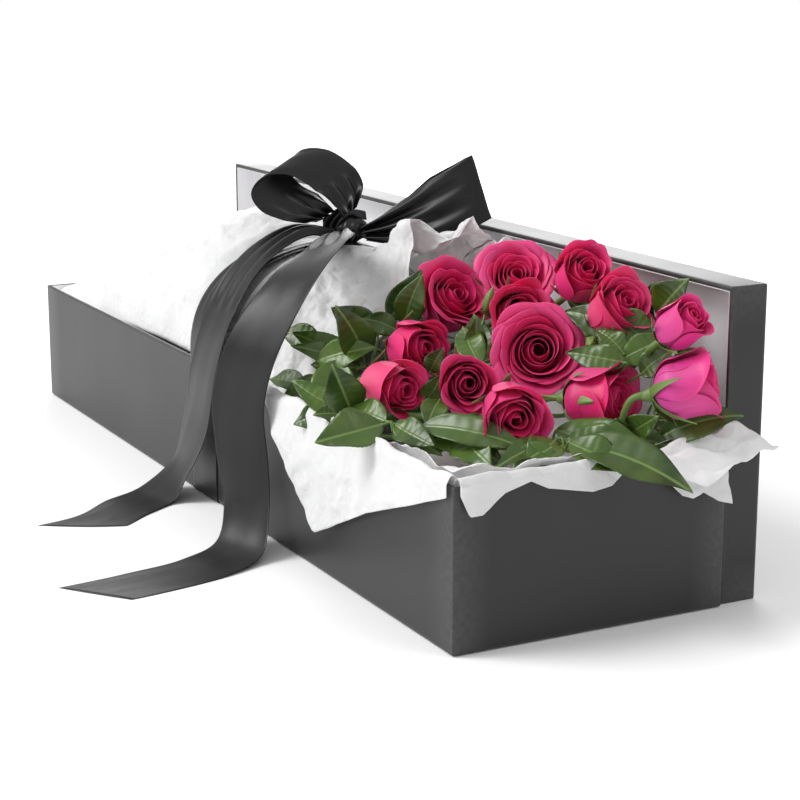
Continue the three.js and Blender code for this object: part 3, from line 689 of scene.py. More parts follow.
onTable = 0.55 * mm
leftTail = tailRun(((-4, -14, -2), (1, 0, 0), 0.3), [
    (6, -20, 99, rim, (1, 0, 0), 0.7), (10, -60, 80, rim, (1, 0, 0), 0.95),
    (26, -94, 46, rim, (1, 0, 0), 1), (18, -107, 0, rim, (1, 0, 0), 1),
    (4, -110, 60, 0, (1, 0, 0), 1), (-12, -116, 24, 0, (1, -0.1, 0), 1),
    (-14, -134, 3, 0, (1, 0.2, 0), 1), (4, -166, 0, onTable, (1, 0.45, 0), 1),
    (30, -198, 0, onTable, (1, 0.35, 0), 1), (42, -238, 0, onTable, (1, 0.15, 0), 1),
])
rightTail = tailRun(((10, -12, -4), (0.8, 0.6, 0), 0.3), [
    (58, -14, 101, rim, (0.7, 0.5, 0.3), 0.7), (106, -46, 102, rim, (0.8, 0.4, 0.3), 1),
    (138, -84, 86, rim, (0.9, 0.3, 0.1), 1), (134, -114, 40, rim, (0.9, 0.42, 0), 1),
    (122, -122, -4, rim, (0.9, 0.42, 0), 1), (126, -122, 66, 0, (0.9, 0.42, 0), 1),
    (138, -124, 30, 0, (0.95, 0.3, 0), 1), (154, -136, 6, 0, (1, 0.3, 0), 1),
    (170, -168, 0, onTable, (1, 0.3, 0), 1), (182, -220, 0, onTable, (1, 0.1, 0), 1),
    (188, -272, 0, onTable, (1, 0, 0), 1),
])
ribbonPiece("ribbonTailLeft", "ribbon_tail_left", [satinStrip(leftTail, slant=0.12, seed=3)])
ribbonPiece("ribbonTailRight", "ribbon_tail_right", [satinStrip(rightTail, slant=0.06, seed=4)])


# The band's line across the tray: the arch over the bunch, straight down both walls, and flat under
# the tray, with the strip's width along the tray and faint lengthwise ripples.
def bandLoop():
    outer = bandHigh[1] - ribbon["thickness"]
    low = bandLow[2] + 0.25 * mm
    turn = np.linspace(-math.pi / 2, math.pi / 2, 60)
    y, z = arch(turn, outer, rim, rim + ribbon["crown"])
    down = np.linspace(rim, low + 1 * mm, 20)[1:]
    side = np.full(len(down), -outer)
    under = np.linspace(-outer + 1 * mm, outer - 1 * mm, 30)
    y = np.concatenate([y, side, under, -side])
    z = np.concatenate([z, down, np.full(len(under), low), down[::-1]])
    v = np.linspace(-0.5, 0.5, 25)[None]
    high = smooth(z, rim, rim + ribbon["crown"])[:, None]
    near = np.exp(-((y - knot[1]) / 0.028) ** 2)[:, None] * high
    dip = 0.0012 * near * np.cos(2 * math.pi * 4 * v) + 0.0005 * high * np.sin(31 * v + 40 * y[:, None])
    x = v * ribbon["width"] * (1 - 0.12 * near)
    points = joined(x, y[:, None] + 0 * v, z[:, None] + dip)
    edge = smooth(np.abs(v), 0.47, 0.5) + 0 * y[:, None]
    return points, joined(edge, edge * 0, edge * 0)


bandPoints, bandShade = bandLoop()
band = makePiece("ribbonBand", [patch(bandPoints, 0, bandShade, closeRows=True)], [satin],
                 thickness=ribbon["thickness"])
settle(band, "tray", ["ribbon_band"])


# The knot: an egg squared off at its sides, ridged where the ribbon is drawn up round it, with one
# fold that lies over the rest.
def knotWrap():
    turn = np.linspace(0, 2 * math.pi, 72, endpoint=False)[:, None]
    t = np.linspace(-1, 1, 31)[None, :]
    size = (knotHigh - knotLow) / 2
    body = np.maximum(1 - np.abs(t) ** 2.6, 0) ** 0.42
    ridge = 1 + 0.055 * np.sin(9 * t + 0.7 * np.sin(turn)) * (1 - t ** 4)
    across = size[0] * 0.98 * t + 0 * turn
    forward = size[1] * 0.98 * body * ridge * np.cos(turn)
    upward = size[2] * 0.98 * body * ridge * np.sin(turn)
    ways = (unit([0.86, 0.50, 0.08]), unit([-0.5, 0.86, 0]), np.array([0, 0, 1]))
    points = knot + sum(c[..., None] * w for c, w in zip((across, forward, upward), ways))
    return patch(points.transpose(1, 0, 2), closeColumns=True)


knotFold = fromKnot([((-4, -13, -6), (0.9, 0.5, 0), 0.34), ((-7, -13, 4), (0.9, 0.5, 0), 0.4),
                     ((-5, -5, 12), (0.9, 0.5, 0), 0.42), ((0, 6, 11), (0.9, 0.5, 0), 0.36)])
foldPoints, foldShade, foldUv = satinStrip(knotFold, rows=40, seed=8)
knotPiece = makePiece("ribbonKnot", [knotWrap(), patch(foldPoints, 0, foldShade, foldUv)], [satin],
                      thickness=ribbon["thickness"])
settle(knotPiece, "tray", ["ribbon_knot"])
print("ribbon")

# Tissue paper.
tissue = {
    "thickness": 0.00012, "foot": 0.012, "bandHalf": 0.029, "wrapEnd": 0.034,
    # share of half the tray's length, height above the rim in mm
    "crown": [(-0.985, 3), (-0.86, 8), (-0.72, 26.5), (-0.59, 58.8), (-0.4, 84.3), (-0.25, 98),
              (-0.12, 96), (-0.0725, 86.5), (0.0725, 86.5), (0.14, 95)],
    # turn on the arch, back from the near end, share of the half width, height above the rim
    "collarEdge": [(-1.51, 235, 1, 60), (-1.1, 254, 0.92, 103), (-0.85, 260, 0.81, 100),
                   (-0.6, 264, 0.67, 122), (-0.38, 280, 0.56, 98), (-0.17, 308, 0.39, 114),
                   (0.1, 282, 0.19, 66), (0.4, 270, -0.09, 38), (0.75, 262, -0.47, 16),
                   (1.1, 268, -0.8, -2), (1.51, 276, -1, -8)],
}
wrapHalf = lining["y"] - 2.7 * mm
wrapFoot = rim - tissue["foot"]


# Height of the wrap's crown over the tray, eased between its stations.
def crownAt(x):
    share = x / nearEnd
    stations = np.array(tissue["crown"])
    k = np.clip(np.searchsorted(stations[:, 0], share) - 1, 0, len(stations) - 2)
    s0, z0 = stations[k].T
    s1, z1 = stations[k + 1].T
    return rim + (z0 + (z1 - z0) * smooth((share - s0) / (s1 - s0), 0, 1)) * mm


def tissuePiece(name, node, patches):
    piece = makePiece(name, patches, [paper["tissue"]], thickness=tissue["thickness"])
    settle(piece, "tray", [node])
    return piece


# The wrap: an arch from wall to wall, pushed in and out along its normal by creases that die away
# under the ribbon and at its feet.
def wrapSheet(rows=200, columns=150):
    x = np.linspace(tissue["crown"][0][0] * nearEnd, tissue["wrapEnd"], rows)[:, None]
    turn = 0.48 * math.pi * np.linspace(-1, 1, columns)[None]
    y, z = arch(turn, wrapHalf, wrapFoot, crownAt(x[:, 0])[:, None])
    points = joined(x, y, z)
    normal = gridNormals(points)
    normal *= np.sign(normal[..., 2:3] + 1e-9)
    span = turn * wrapHalf
    push = 0.015 * crumple(x, span, 0.085, 21, 7) + 0.006 * crumple(x, span, 0.030, 22, 6)
    push = push + 0.0016 * crumple(x, span, 0.012, 23, 6)
    free = smooth(np.abs(x), tissue["bandHalf"], 0.075) * (1 - 0.75 * smooth(np.abs(turn), 1.1, 1.5))
    low = smooth(z - rim, 0.0, 0.02)
    push = (push + 0.002) * free * (0.3 + 0.7 * low)
    return points + normal * push[..., None]


# The collar: straight lines from the wrap's end out to an edge that lies low behind the front blooms
# and stands in peaks by the lid, sagging a little, with creases that fan from the ribbon.
def collarSheet(rows=110, columns=210):
    u = np.linspace(0, 1, rows)[:, None]
    turn = 0.48 * math.pi * np.linspace(-1, 1, columns)[None]
    y0, z0 = arch(turn, wrapHalf, wrapFoot, rim + 0.089)
    start = joined(tissue["wrapEnd"] - 0.001 + 0 * turn, y0, z0)
    table = np.array(tissue["collarEdge"])
    back, share, above = [np.interp(turn, table[:, 0], table[:, k]) for k in (1, 2, 3)]
    above = above + 9 * crumple(turn * 0.1, 0 * turn, 0.02, 34, 4) * smooth(-turn, -0.3, 0.2)
    end = joined(nearEnd - back * mm, share * wrapHalf, rim + above * mm)
    points = start + (end - start) * u[..., None]
    points[..., 2] -= 0.006 * np.sin(math.pi * u)
    normal = gridNormals(points)
    normal *= np.sign(normal[..., 2:3] + 1e-9)
    fan, reach = turn * 0.095, u * 0.09
    push = 0.016 * crumple(fan, reach * 0.35, 0.032, 32, 6) + 0.010 * crumple(fan, reach, 0.022, 33, 6)
    push = push + 0.002 * crumple(fan, reach, 0.008, 35, 6)
    push = push * smooth(u, 0, 0.35) * (1 - 0.7 * smooth(np.abs(turn), 1.2, 1.5))
    return points + normal * push[..., None]


tissuePiece("tissueWrap", "tissue_wrap", [patch(wrapSheet())])
tissuePiece("tissueCollar", "tissue_collar", [patch(collarSheet())])


# The lining: a box of tissue inside the tray whose walls and floor are pushed inwards by creases,
# with an uneven top edge.
def liningSheet(rows=40):
    top = rim - 8 * mm
    base = linerLow[2] + 0.4 * mm
    levels = np.linspace(0, 1, rows)
    rings = []
    for s in levels:
        z = base + (top - base) * s
        ring = roundedRing(lining["x"] - 0.3 * mm, lining["y"] - 0.3 * mm, 3 * mm, 150, 40)
        rings.append(np.column_stack([ring, np.full(len(ring), z)]))
    points = np.array(rings)
    run = np.concatenate([[0], np.cumsum(np.linalg.norm(np.diff(points[0], axis=0), axis=1))])[None]
    push = 0.004 * (crumple(run, points[..., 2], 0.05, 41) + 0.5)
    inward = unit(joined(-points[..., 0] / 4, -points[..., 1], 0 * points[..., 0]))
    points = points + inward * push[..., None]
    points[..., 2] += 0.006 * crumple(run, 0 * run, 0.03, 42) * levels[:, None] ** 4
    floorGrid = np.stack(np.meshgrid(np.linspace(-1, 1, 160) * (lining["x"] - 2 * mm),
                                     np.linspace(-1, 1, 50) * (lining["y"] - 2 * mm), indexing="ij"), -1)
    wave = base + 0.0006 + 0.0012 * (crumple(floorGrid[..., 0], floorGrid[..., 1], 0.06, 43) + 0.5)
    flatPart = np.concatenate([floorGrid, wave[..., None]], -1)
    return [patch(points, closeColumns=True), patch(flatPart)]


tissuePiece("tissueLining", "tissue_lining", liningSheet())


# A flap of the lining turned out over the rim: up from inside, over, and down the outside by its own
# drop at each place along the wall, standing off the wall in creases.
def drapeSheet(low, high, dropAt, alongX, wallAt, seed, puff, rows=170, columns=60):
    run = np.linspace(low, high, rows)[:, None]
    v = np.linspace(0, 1, columns)[None]
    drop = dropAt(run)
    inside, over = 0.014, 0.0085
    total = inside + over + drop
    path = v * total
    up = np.clip(path, 0, inside)
    across = np.clip(path - inside, 0, over)
    fall = np.clip(path - inside - over, 0, None)
    out = wallAt - over + 0.002 + across
    z = rim - inside + up + 0.0012 - fall
    crease = crumple(run, path, 0.03, seed) + 0.5
    fine = crumple(run, path, 0.012, seed + 1) + 0.5
    stand = (puff * crease + 0.002 * fine) * smooth(fall, 0, 0.03) * smooth(drop, 0.004, 0.03)
    arcOver = np.sin(math.pi * np.clip(across / over, 0, 1)) * (0.001 + 0.007 * crease)
    out = out + stand + 0.0008 - 0.004 * crease * smooth(inside - path, 0, inside)
    z = z + arcOver
    slide = 0.004 * (crumple(run, path, 0.05, seed + 2)) * smooth(fall, 0, 0.02)
    if alongX:
        return joined(run + slide, -out, z)
    return joined(out, run + slide, z)


# Each drape's stretch of the wall, and its drop below the rim at places along the wall, in mm.
frontDrape = {
    "along": (124, 396),
    "drop": [(124, 4), (140, 18), (180, 50), (216, 76), (222, 76), (300, 42), (352, 24), (396, 8)],
}
endDrape = {
    "along": (-97, 97),
    "drop": [(-97, 6), (-92, 19), (-83, 19), (-66, 8), (-48, 3), (-36, 9), (-4, 15), (10, 13),
             (22, 4), (34, 3), (46, 10), (60, 25), (68, 28), (76, 25), (86, 31), (97, 34)],
}


def dropOf(table):
    stations = np.array(table["drop"], float) * mm
    return lambda run: np.interp(run, stations[:, 0], stations[:, 1])


frontFlap = drapeSheet(*np.array(frontDrape["along"]) * mm, dropOf(frontDrape), True, halfWide, 51, 0.006)
endFlap = drapeSheet(*np.array(endDrape["along"]) * mm, dropOf(endDrape), False, nearEnd, 61, 0.012)
tissuePiece("tissueFrontDrape", "tissue_front_drape", [patch(frontFlap)])


# The drape's last corner, which sticks out past the tray's back corner: a twisted patch between four
# corners with creases.
def cornerTip(rows=40, columns=40):
    u, v = np.meshgrid(np.linspace(0, 1, rows), np.linspace(0, 1, columns), indexing="ij")
    corners = [(0, 34, 4), (-1, 99, 16), (-17, 66, -16), (-12, 128, 3)]
    a, b, c, d = [place(*p) for p in corners]
    across = (1 - v)[..., None] * a + v[..., None] * b
    edge = (1 - v)[..., None] * c + v[..., None] * d
    points = across + (edge - across) * u[..., None]
    points[..., 0] += 0.008 * (crumple(u * 0.03, v * 0.05, 0.02, 65, 6) + 0.5) * np.sqrt(u)
    points[..., 2] += 0.010 * crumple(u * 0.03, v * 0.05, 0.016, 66, 6)
    return points


tissuePiece("tissueEndDrape", "tissue_end_drape", [patch(endFlap), patch(cornerTip())])


# The pad: a long roll of tissue, a flattened circle along the tray's width, creased all over and
# drawn in at its ends.
def padRoll(rows=90, columns=72):
    low, high = [np.array(c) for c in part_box("bloom_pad")]
    middle, size = (low + high) / 2, (high - low) / 2
    t = np.linspace(-1, 1, rows)[:, None]
    turn = np.linspace(0, 2 * math.pi, columns, endpoint=False)[None]
    body = np.maximum(1 - np.abs(t) ** 12, 1e-4) ** 0.4
    flat = np.abs(np.cos(turn)) ** 0.8 * np.sign(np.cos(turn))
    high = np.abs(np.sin(turn)) ** 0.8 * np.sign(np.sin(turn))
    crease = 1 - 0.09 * (crumple(t * 0.09, turn * 0.05, 0.03, 71) + 0.5)
    points = joined(size[0] * flat * body * crease, size[1] * t + 0 * turn, size[2] * high * body * crease)
    return points + middle


pad = makePiece("bloomPad", [patch(padRoll(), closeColumns=True)], [paper["tissue"]])
settle(pad, "tray", ["bloom_pad"])


# The sheet over the pad: level below the stems, turned up along the walls, creased.
def bedSheet(rows=120, columns=110):
    low, high = [np.array(c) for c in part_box("tissue_bed")]
    x = np.linspace(low[0], high[0], rows)[:, None]
    y = np.linspace(low[1], high[1], columns)[None]
    wallRise = smooth(np.abs(y), 0.070, high[1]) ** 1.4 + smooth(x, high[0] - 0.03, high[0]) ** 1.4
    crease = crumple(x, y, 0.045, 81) * 0.016 + crumple(x, y, 0.018, 82) * 0.005
    z = (low[2] + high[2]) / 2 + crease + np.minimum(wallRise, 1) * 0.040
    return joined(x + 0 * y, y + 0 * x, z)


tissuePiece("tissueBed", "tissue_bed", [patch(bedSheet())])
print("tissue")

# Each rose: its middle as back from the near end, across and above the rim; its diameter and height;
# which way the bloom faces; the stem's points; its place in the bundle; how far it has opened; how
# many petals; its colour. The bundle's sizes are in mm.
bundle = {"pitch": 8.2, "stem": 5, "from": -68, "to": -332, "steps": 90}
tieLow, tieHigh = [np.array(c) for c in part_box("stem_tie")]
bundleMiddle = (tieLow[2] + tieHigh[2]) / 2
roses = [
    {"at": (226, 76, 74), "size": (46, 38), "facing": (0.65, -0.3, 0.65), "via": [(256, 77, 42)],
     "place": (1, 0), "open": 0.85, "petals": 26, "look": "hot"},
    {"at": (136, 74, 93), "size": (34, 38), "facing": (0.7, -0.1, 0.5),
     "via": [(210, 88, 55), (262, 85, 31)], "place": (1, 1), "open": 0.25, "petals": 15, "look": "hot"},
    {"at": (252, 34, 58), "size": (46, 44), "facing": (0.75, 0.1, 0.6), "via": [],
     "place": (1, -1), "open": 0.6, "petals": 20, "look": "hot"},
    {"at": (180, 50, 62), "size": (38, 36), "facing": (0.9, -0.25, 0.35), "via": [(222, 76, 22)],
     "place": (0, 1), "open": 0.45, "petals": 18, "look": "salmon"},
    {"at": (130, 36, 45), "size": (53, 38), "facing": (0.85, -0.4, 0.35), "via": [(210, 42, 15)],
     "place": (0, 0), "open": 0.8, "petals": 28, "look": "hot"},
    {"at": (89, 72, 77), "size": (38, 38), "facing": (0.75, 0.1, 0.6), "via": [(136, 84, 52), (210, 86, 38)],
     "place": (0, 2), "open": 0.35, "petals": 17, "look": "salmon"},
    {"at": (8, 66, 82), "size": (28, 34), "facing": (0.75, 0.2, 0.6),
     "via": [(60, 80, 48), (100, 86, 38), (150, 84, 28), (210, 70, 9)],
     "place": (-1, 1), "open": 0.1, "petals": 12, "look": "lilac"},
    {"at": (189, -26, 44), "size": (36, 42), "facing": (0.95, 0.05, 0.1), "via": [(246, -22, 12)],
     "place": (1, -2), "open": 0.2, "petals": 14, "look": "hot"},
    {"at": (164, -58, 24), "size": (36, 44), "facing": (0.95, 0.15, 0.05), "via": [(206, -62, 18)],
     "place": (0, -2), "open": 0.2, "petals": 14, "look": "salmon"},
    {"at": (132, -18, 29), "size": (34, 36), "facing": (0.9, -0.35, 0.15), "via": [(190, -11, 13)],
     "place": (0, -1), "open": 0.4, "petals": 17, "look": "hot"},
    {"at": (65, -22, 24), "size": (38, 44), "facing": (0.9, -0.3, -0.1),
     "via": [(112, -11, 4), (132, -17, 1), (210, -26, -9)],
     "place": (-1, -2), "open": 0.3, "petals": 16, "look": "hot"},
    {"at": (63, 41, 26), "size": (45, 42), "facing": (0.8, 0.45, 0.1), "via": [(130, 26, 8), (210, 18, -4)],
     "place": (-1, 0), "open": 0.3, "petals": 18, "look": "hot"},
    {"at": (4, 69, 43), "size": (40, 42), "facing": (0.55, 0.75, 0.25),
     "via": [(38, 38, 4), (60, 30, -6), (130, 8, -10), (210, 2, -14)],
     "place": (-1, -1), "open": 0.3, "petals": 16, "look": "lilac"},
]


goldenAngle = 2.39996  # radians between one petal and the next


# Turns a shape made upright on the origin so that it stands on base and faces out.
def toWorld(local, base, out, spin=0.0):
    z = unit(out)
    x = unit(np.cross([0.11, 0.23, 0.97], z))
    y = np.cross(z, x)
    x, y = x * math.cos(spin) + y * math.sin(spin), y * math.cos(spin) - x * math.sin(spin)
    return base + local[..., :1] * x + local[..., 1:2] * y + local[..., 2:] * z


# One petal, q of the way from the bud's heart to its outside. Its centre line runs out from the base,
# up round the belly and over at the lip: the sum of small steps along an angle that eases from
# outward to upright to the lip's curl. Across, it bends round the rose's axis at the radius of each
# height, one side a little outside the other so that each overlaps the next.
def petal(radius, height, q, openness, turn, rng, rows=17, columns=15):
    s = np.linspace(0, 1, 60)
    lean = math.radians(-13 + 64 * openness * q ** 1.8 + rng.uniform(-4, 4))
    flare = math.radians(74) * np.clip(1 - s / 0.42, 0, 1) ** 0.8
    curl = math.radians(22 + 120 * openness ** 0.7 * q + rng.uniform(-8, 14)) * q ** 0.6
    angle = flare + lean * smooth(s, 0.2, 0.8) + curl * smooth(s, 0.72, 1.06) ** 1.2
    length = height * (1.06 + 0.10 * q + 0.14 * openness * q + rng.uniform(-0.02, 0.03))
    r = np.concatenate([[0], np.cumsum(np.sin(angle))[:-1]]) / 60 * length
    z = np.concatenate([[0], np.cumsum(np.cos(angle))[:-1]]) / 60 * length
    belly = radius * (0.14 + 0.86 * q ** 0.75) * (1.0 - 0.18 * openness * q)
    scale = belly / max(r[:42].max(), 1e-6)
    lip = r[42:] - r[41]
    r = np.concatenate([r[:42] * scale, r[41] * scale + lip]) + 0.0012
    z *= height * (0.90 + 0.08 * (1 - abs(q - 0.45))) / z.max()
    u = np.linspace(-1, 1, columns)[:, None]
    v = np.linspace(0, 1, rows)[None]
    phase = rng.uniform(0, 6.28, 4)
    notch = 0.05 * np.exp(-(u / 0.16) ** 2) * rng.uniform(0, 1)
    reach = v * (1 - 0.20 * np.abs(u) ** 2.8 - notch - 0.03 * np.sin(5 * u + phase[0]) * q)
    at = reach * 59
    rr = np.interp(at, np.arange(60), r)
    zz = np.interp(at, np.arange(60), z)
    halfWidth = radius * (0.74 + 0.42 * q) * (0.30 + 0.70 * smooth(v, 0.0, 0.62))
    halfWidth = halfWidth * (1 - 0.10 * smooth(v, 0.8, 1))
    bend = np.minimum(halfWidth / np.maximum(rr, 0.12 * radius), 2.5)
    around = turn + u * bend
    spiral = 1 + 0.13 * u * (1 - 0.4 * q)
    tipWave = smooth(v, 0.55, 1) * q ** 0.5
    rr = rr * spiral + radius * 0.055 * tipWave * np.sin(3.4 * u + phase[1])
    rr = rr + radius * 0.10 * q * np.abs(u) ** 3 * smooth(v, 0.35, 1) * (0.5 + openness)
    zz = zz + height * 0.030 * tipWave * np.sin(4.2 * u + phase[2])
    zz = zz - height * 0.05 * np.abs(u) ** 3 * tipWave
    points = joined(rr * np.cos(around), rr * np.sin(around), zz + 0 * u)
    pale = np.clip(0.12 + 0.3 * rng.uniform(-0.4, 1) * q, 0, 1)
    shade = joined(q + 0 * reach, v + 0 * u, pale + 0.15 * q * smooth(v, 0.75, 1) + 0 * u)
    uv = joined(v + 0 * u, (u + 1) / 2 + 0 * v)
    return points, shade, uv


# A narrow green leaf under the bloom: it follows the belly and turns away at its tip.
def sepal(radius, height, turn, rng):
    v = np.linspace(0, 1, 12)[None]
    u = np.linspace(-1, 1, 5)[:, None]
    width = 0.0032 * (1 - v ** 1.6) + 0.00025
    droop = 0.004 * v ** 4 * rng.uniform(0.3, 2)
    r = 0.0028 + radius * 0.90 * np.sin(np.clip(v * 1.5, 0, 1.57)) + 0.0015 + droop
    z = height * (0.58 + rng.uniform(-0.1, 0.06)) * v ** 1.5 - 0.0008
    around = turn + u * width / r
    lift = 0.0006 * u ** 2
    points = joined((r + lift) * np.cos(around), (r + lift) * np.sin(around), z + 0 * u)
    shade = joined(0.5 + 0.3 * v + 0 * u, np.abs(u) + 0 * v, 0 * v + 0 * u)
    return patch(points, 1, shade)


# The swelling under the petals, turned about the stem.
def calyx(diameter):
    profile = np.array([(0.0, -0.0085), (0.0024, -0.0082), (0.0031, -0.006), (0.0044, -0.003),
                        (0.0046, -0.0004), (0.0036, 0.0012), (0.0, 0.0016)])
    profile = profile * np.array([diameter / 0.040, 1])
    turn = np.linspace(0, 2 * math.pi, 16, endpoint=False)
    r, z = profile[:, 0][:, None], profile[:, 1][:, None]
    points = joined(r * np.cos(turn), r * np.sin(turn), z + 0 * turn)
    return points[::-1]


# A small hooked cone on the stem.
def thorn(at, way, size):
    t = np.linspace(0, 1, 5)[:, None]
    turn = np.linspace(0, 2 * math.pi, 6, endpoint=False)[None]
    radius = size * 0.32 * (1 - t) ** 1.2 + 1e-6
    local = joined(radius * np.cos(turn) - size * 0.5 * t ** 2, radius * np.sin(turn), size * t + 0 * turn)
    return toWorld(local, at, way)


# A rose: petals set round the heart by the golden angle, each a step further out, over five sepals
# and a calyx, with a thorned stem to its place in the bundle.
def makeRose(k, rose):
    rng = np.random.default_rng(700 + k)
    diameter, height = np.array(rose["size"]) * mm
    out = unit(rose["facing"])
    base = place(*rose["at"]) - out * height / 2
    spin = rng.uniform(0, 6.28)
    patches = []
    for i in range(rose["petals"]):
        q = ((i + 0.5) / rose["petals"]) ** 0.85
        turn = i * goldenAngle + rng.uniform(-0.18, 0.18)
        points, shade, uv = petal(diameter / 2, height, q, rose["open"], turn, rng)
        patches.append(patch(toWorld(points, base, out, spin), 0, shade, uv))
    for i in range(5):
        leafPart = sepal(diameter / 2, height, i * 2 * math.pi / 5 + 0.4, rng)
        leafPart["points"] = toWorld(leafPart["points"], base, out, spin)
        patches.append(leafPart)
    patches.append(patch(toWorld(calyx(diameter), base, out, spin), 1, (0.55, 1, 0), closeColumns=True))
    row, column = rose["place"]
    y = (column + (0 if row == 0 else 0.5)) * bundle["pitch"] * mm
    z = bundleMiddle + row * bundle["pitch"] * 0.87 * mm
    middle = (bundle["from"] + bundle["to"]) / 2
    foot = [np.array([x * mm, y, z]) for x in (bundle["from"], middle, bundle["to"])]
    neck = [base + out * 2 * mm, base - out * 14 * mm]
    through = [place(*p) for p in rose["via"]]
    steps = bundle["steps"]
    line = centripetal([*neck, *through, *foot], steps)
    thicker = 0.10 * np.linspace(0, 1, steps) + 0.03 * np.sin(np.linspace(0, 31, steps))
    radius = bundle["stem"] / 2 * mm * (0.86 + thicker)
    patches.append(tube(line, radius, 12, 1, (0.35, 1, 0)))
    for i in range(7):
        j = int(rng.uniform(14, 84))
        way = unit(np.cross(line[j + 1] - line[j], rng.normal(size=3)))
        spike = thorn(line[j] + way * radius[j] * 0.8, way, 0.0030)
        patches.append(patch(spike, 1, (0.9, 1, 0), closeColumns=True))
    looks = [petalLooks[rose["look"]], stemLook]
    piece = makePiece(f"rose{k + 1:02d}", patches, looks, thickness=0.0004, subdivide=1)
    settle(piece, "tray", [f"rose_{k + 1:02d}"])


for k, rose in enumerate(roses):
    makeRose(k, rose)
print("roses")

# Each sprig: the top of its stalk and its other points, then leaves as tip, the way it faces and
# its width, all placed as the roses are.
sprigs = [
    {"stalk": [(112, -84, 14), (170, -70, -4), (230, -50, -22)],
     "leaves": [((118, -136, 5), (0.3, 0.1, 0.9), 26), ((72, -74, 6), (0.2, -0.4, 0.9), 17),
                ((160, -92, 14), (0.3, -0.4, 0.8), 18)]},
    {"stalk": [(84, -56, 10), (140, -44, -8), (200, -46, -20)],
     "leaves": [((46, -38, -5), (0.3, -0.5, 0.8), 18), ((38, -52, -2), (0.2, -0.5, 0.9), 22)]},
    {"stalk": [(30, -6, 13), (110, -9, -16), (170, -8, -18)],
     "leaves": [((2, 30, 8), (0.3, -0.3, 0.9), 22), ((-52, 36, -8), (0.1, -0.1, 1), 28),
                ((16, -40, 6), (0.3, -0.2, 0.9), 20)]},
    {"stalk": [(20, 56, 6), (60, 52, -10), (150, 46, -20)],
     "leaves": [((-18, 98, 26), (0.4, -0.4, 0.8), 22), ((-6, 74, 4), (0.3, -0.1, 0.9), 20)]},
    {"stalk": [(100, 94, 40), (140, 92, 10), (170, 88, -8)],
     "leaves": [((84, 98, 96), (0.1, -1, 0), 18), ((34, 96, 58), (0.1, -1, 0.1), 15)]},
    {"stalk": [(166, -84, 6), (220, -70, -14), (280, -52, -30)],
     "leaves": [((154, -106, 46), (0.8, -0.4, 0.1), 24), ((206, -112, 26), (0.5, -0.2, 0.8), 16),
                ((176, -110, 8), (0.4, -0.2, 0.9), 14)]},
    {"stalk": [(222, -46, 26), (262, -34, 0), (310, -28, -26)],
     "leaves": [((212, -76, 74), (0.8, -0.3, 0.3), 22), ((236, -84, 28), (0.6, -0.2, 0.7), 18),
                ((252, -92, 40), (0.6, -0.4, 0.6), 14), ((266, -84, 46), (0.7, -0.5, 0.4), 17)]},
    {"stalk": [(226, -16, 48), (270, -10, 18), (320, -12, -18)],
     "leaves": [((212, -8, 90), (0.8, -0.5, 0.1), 18), ((244, -40, 56), (0.6, -0.5, 0.4), 14)]},
    {"stalk": [(164, 2, 30), (186, 5, 16), (206, 6, 5)],
     "leaves": [((160, 6, 68), (0.9, -0.3, 0.1), 15)]},
    {"stalk": [(86, 50, 32), (110, 54, 6), (190, 56, -12)],
     "leaves": [((74, 64, 66), (0.9, -0.3, 0.2), 18), ((64, 84, 60), (0.8, -0.3, 0.4), 20),
                ((98, 72, 56), (0.8, -0.4, 0.3), 16)]},
]


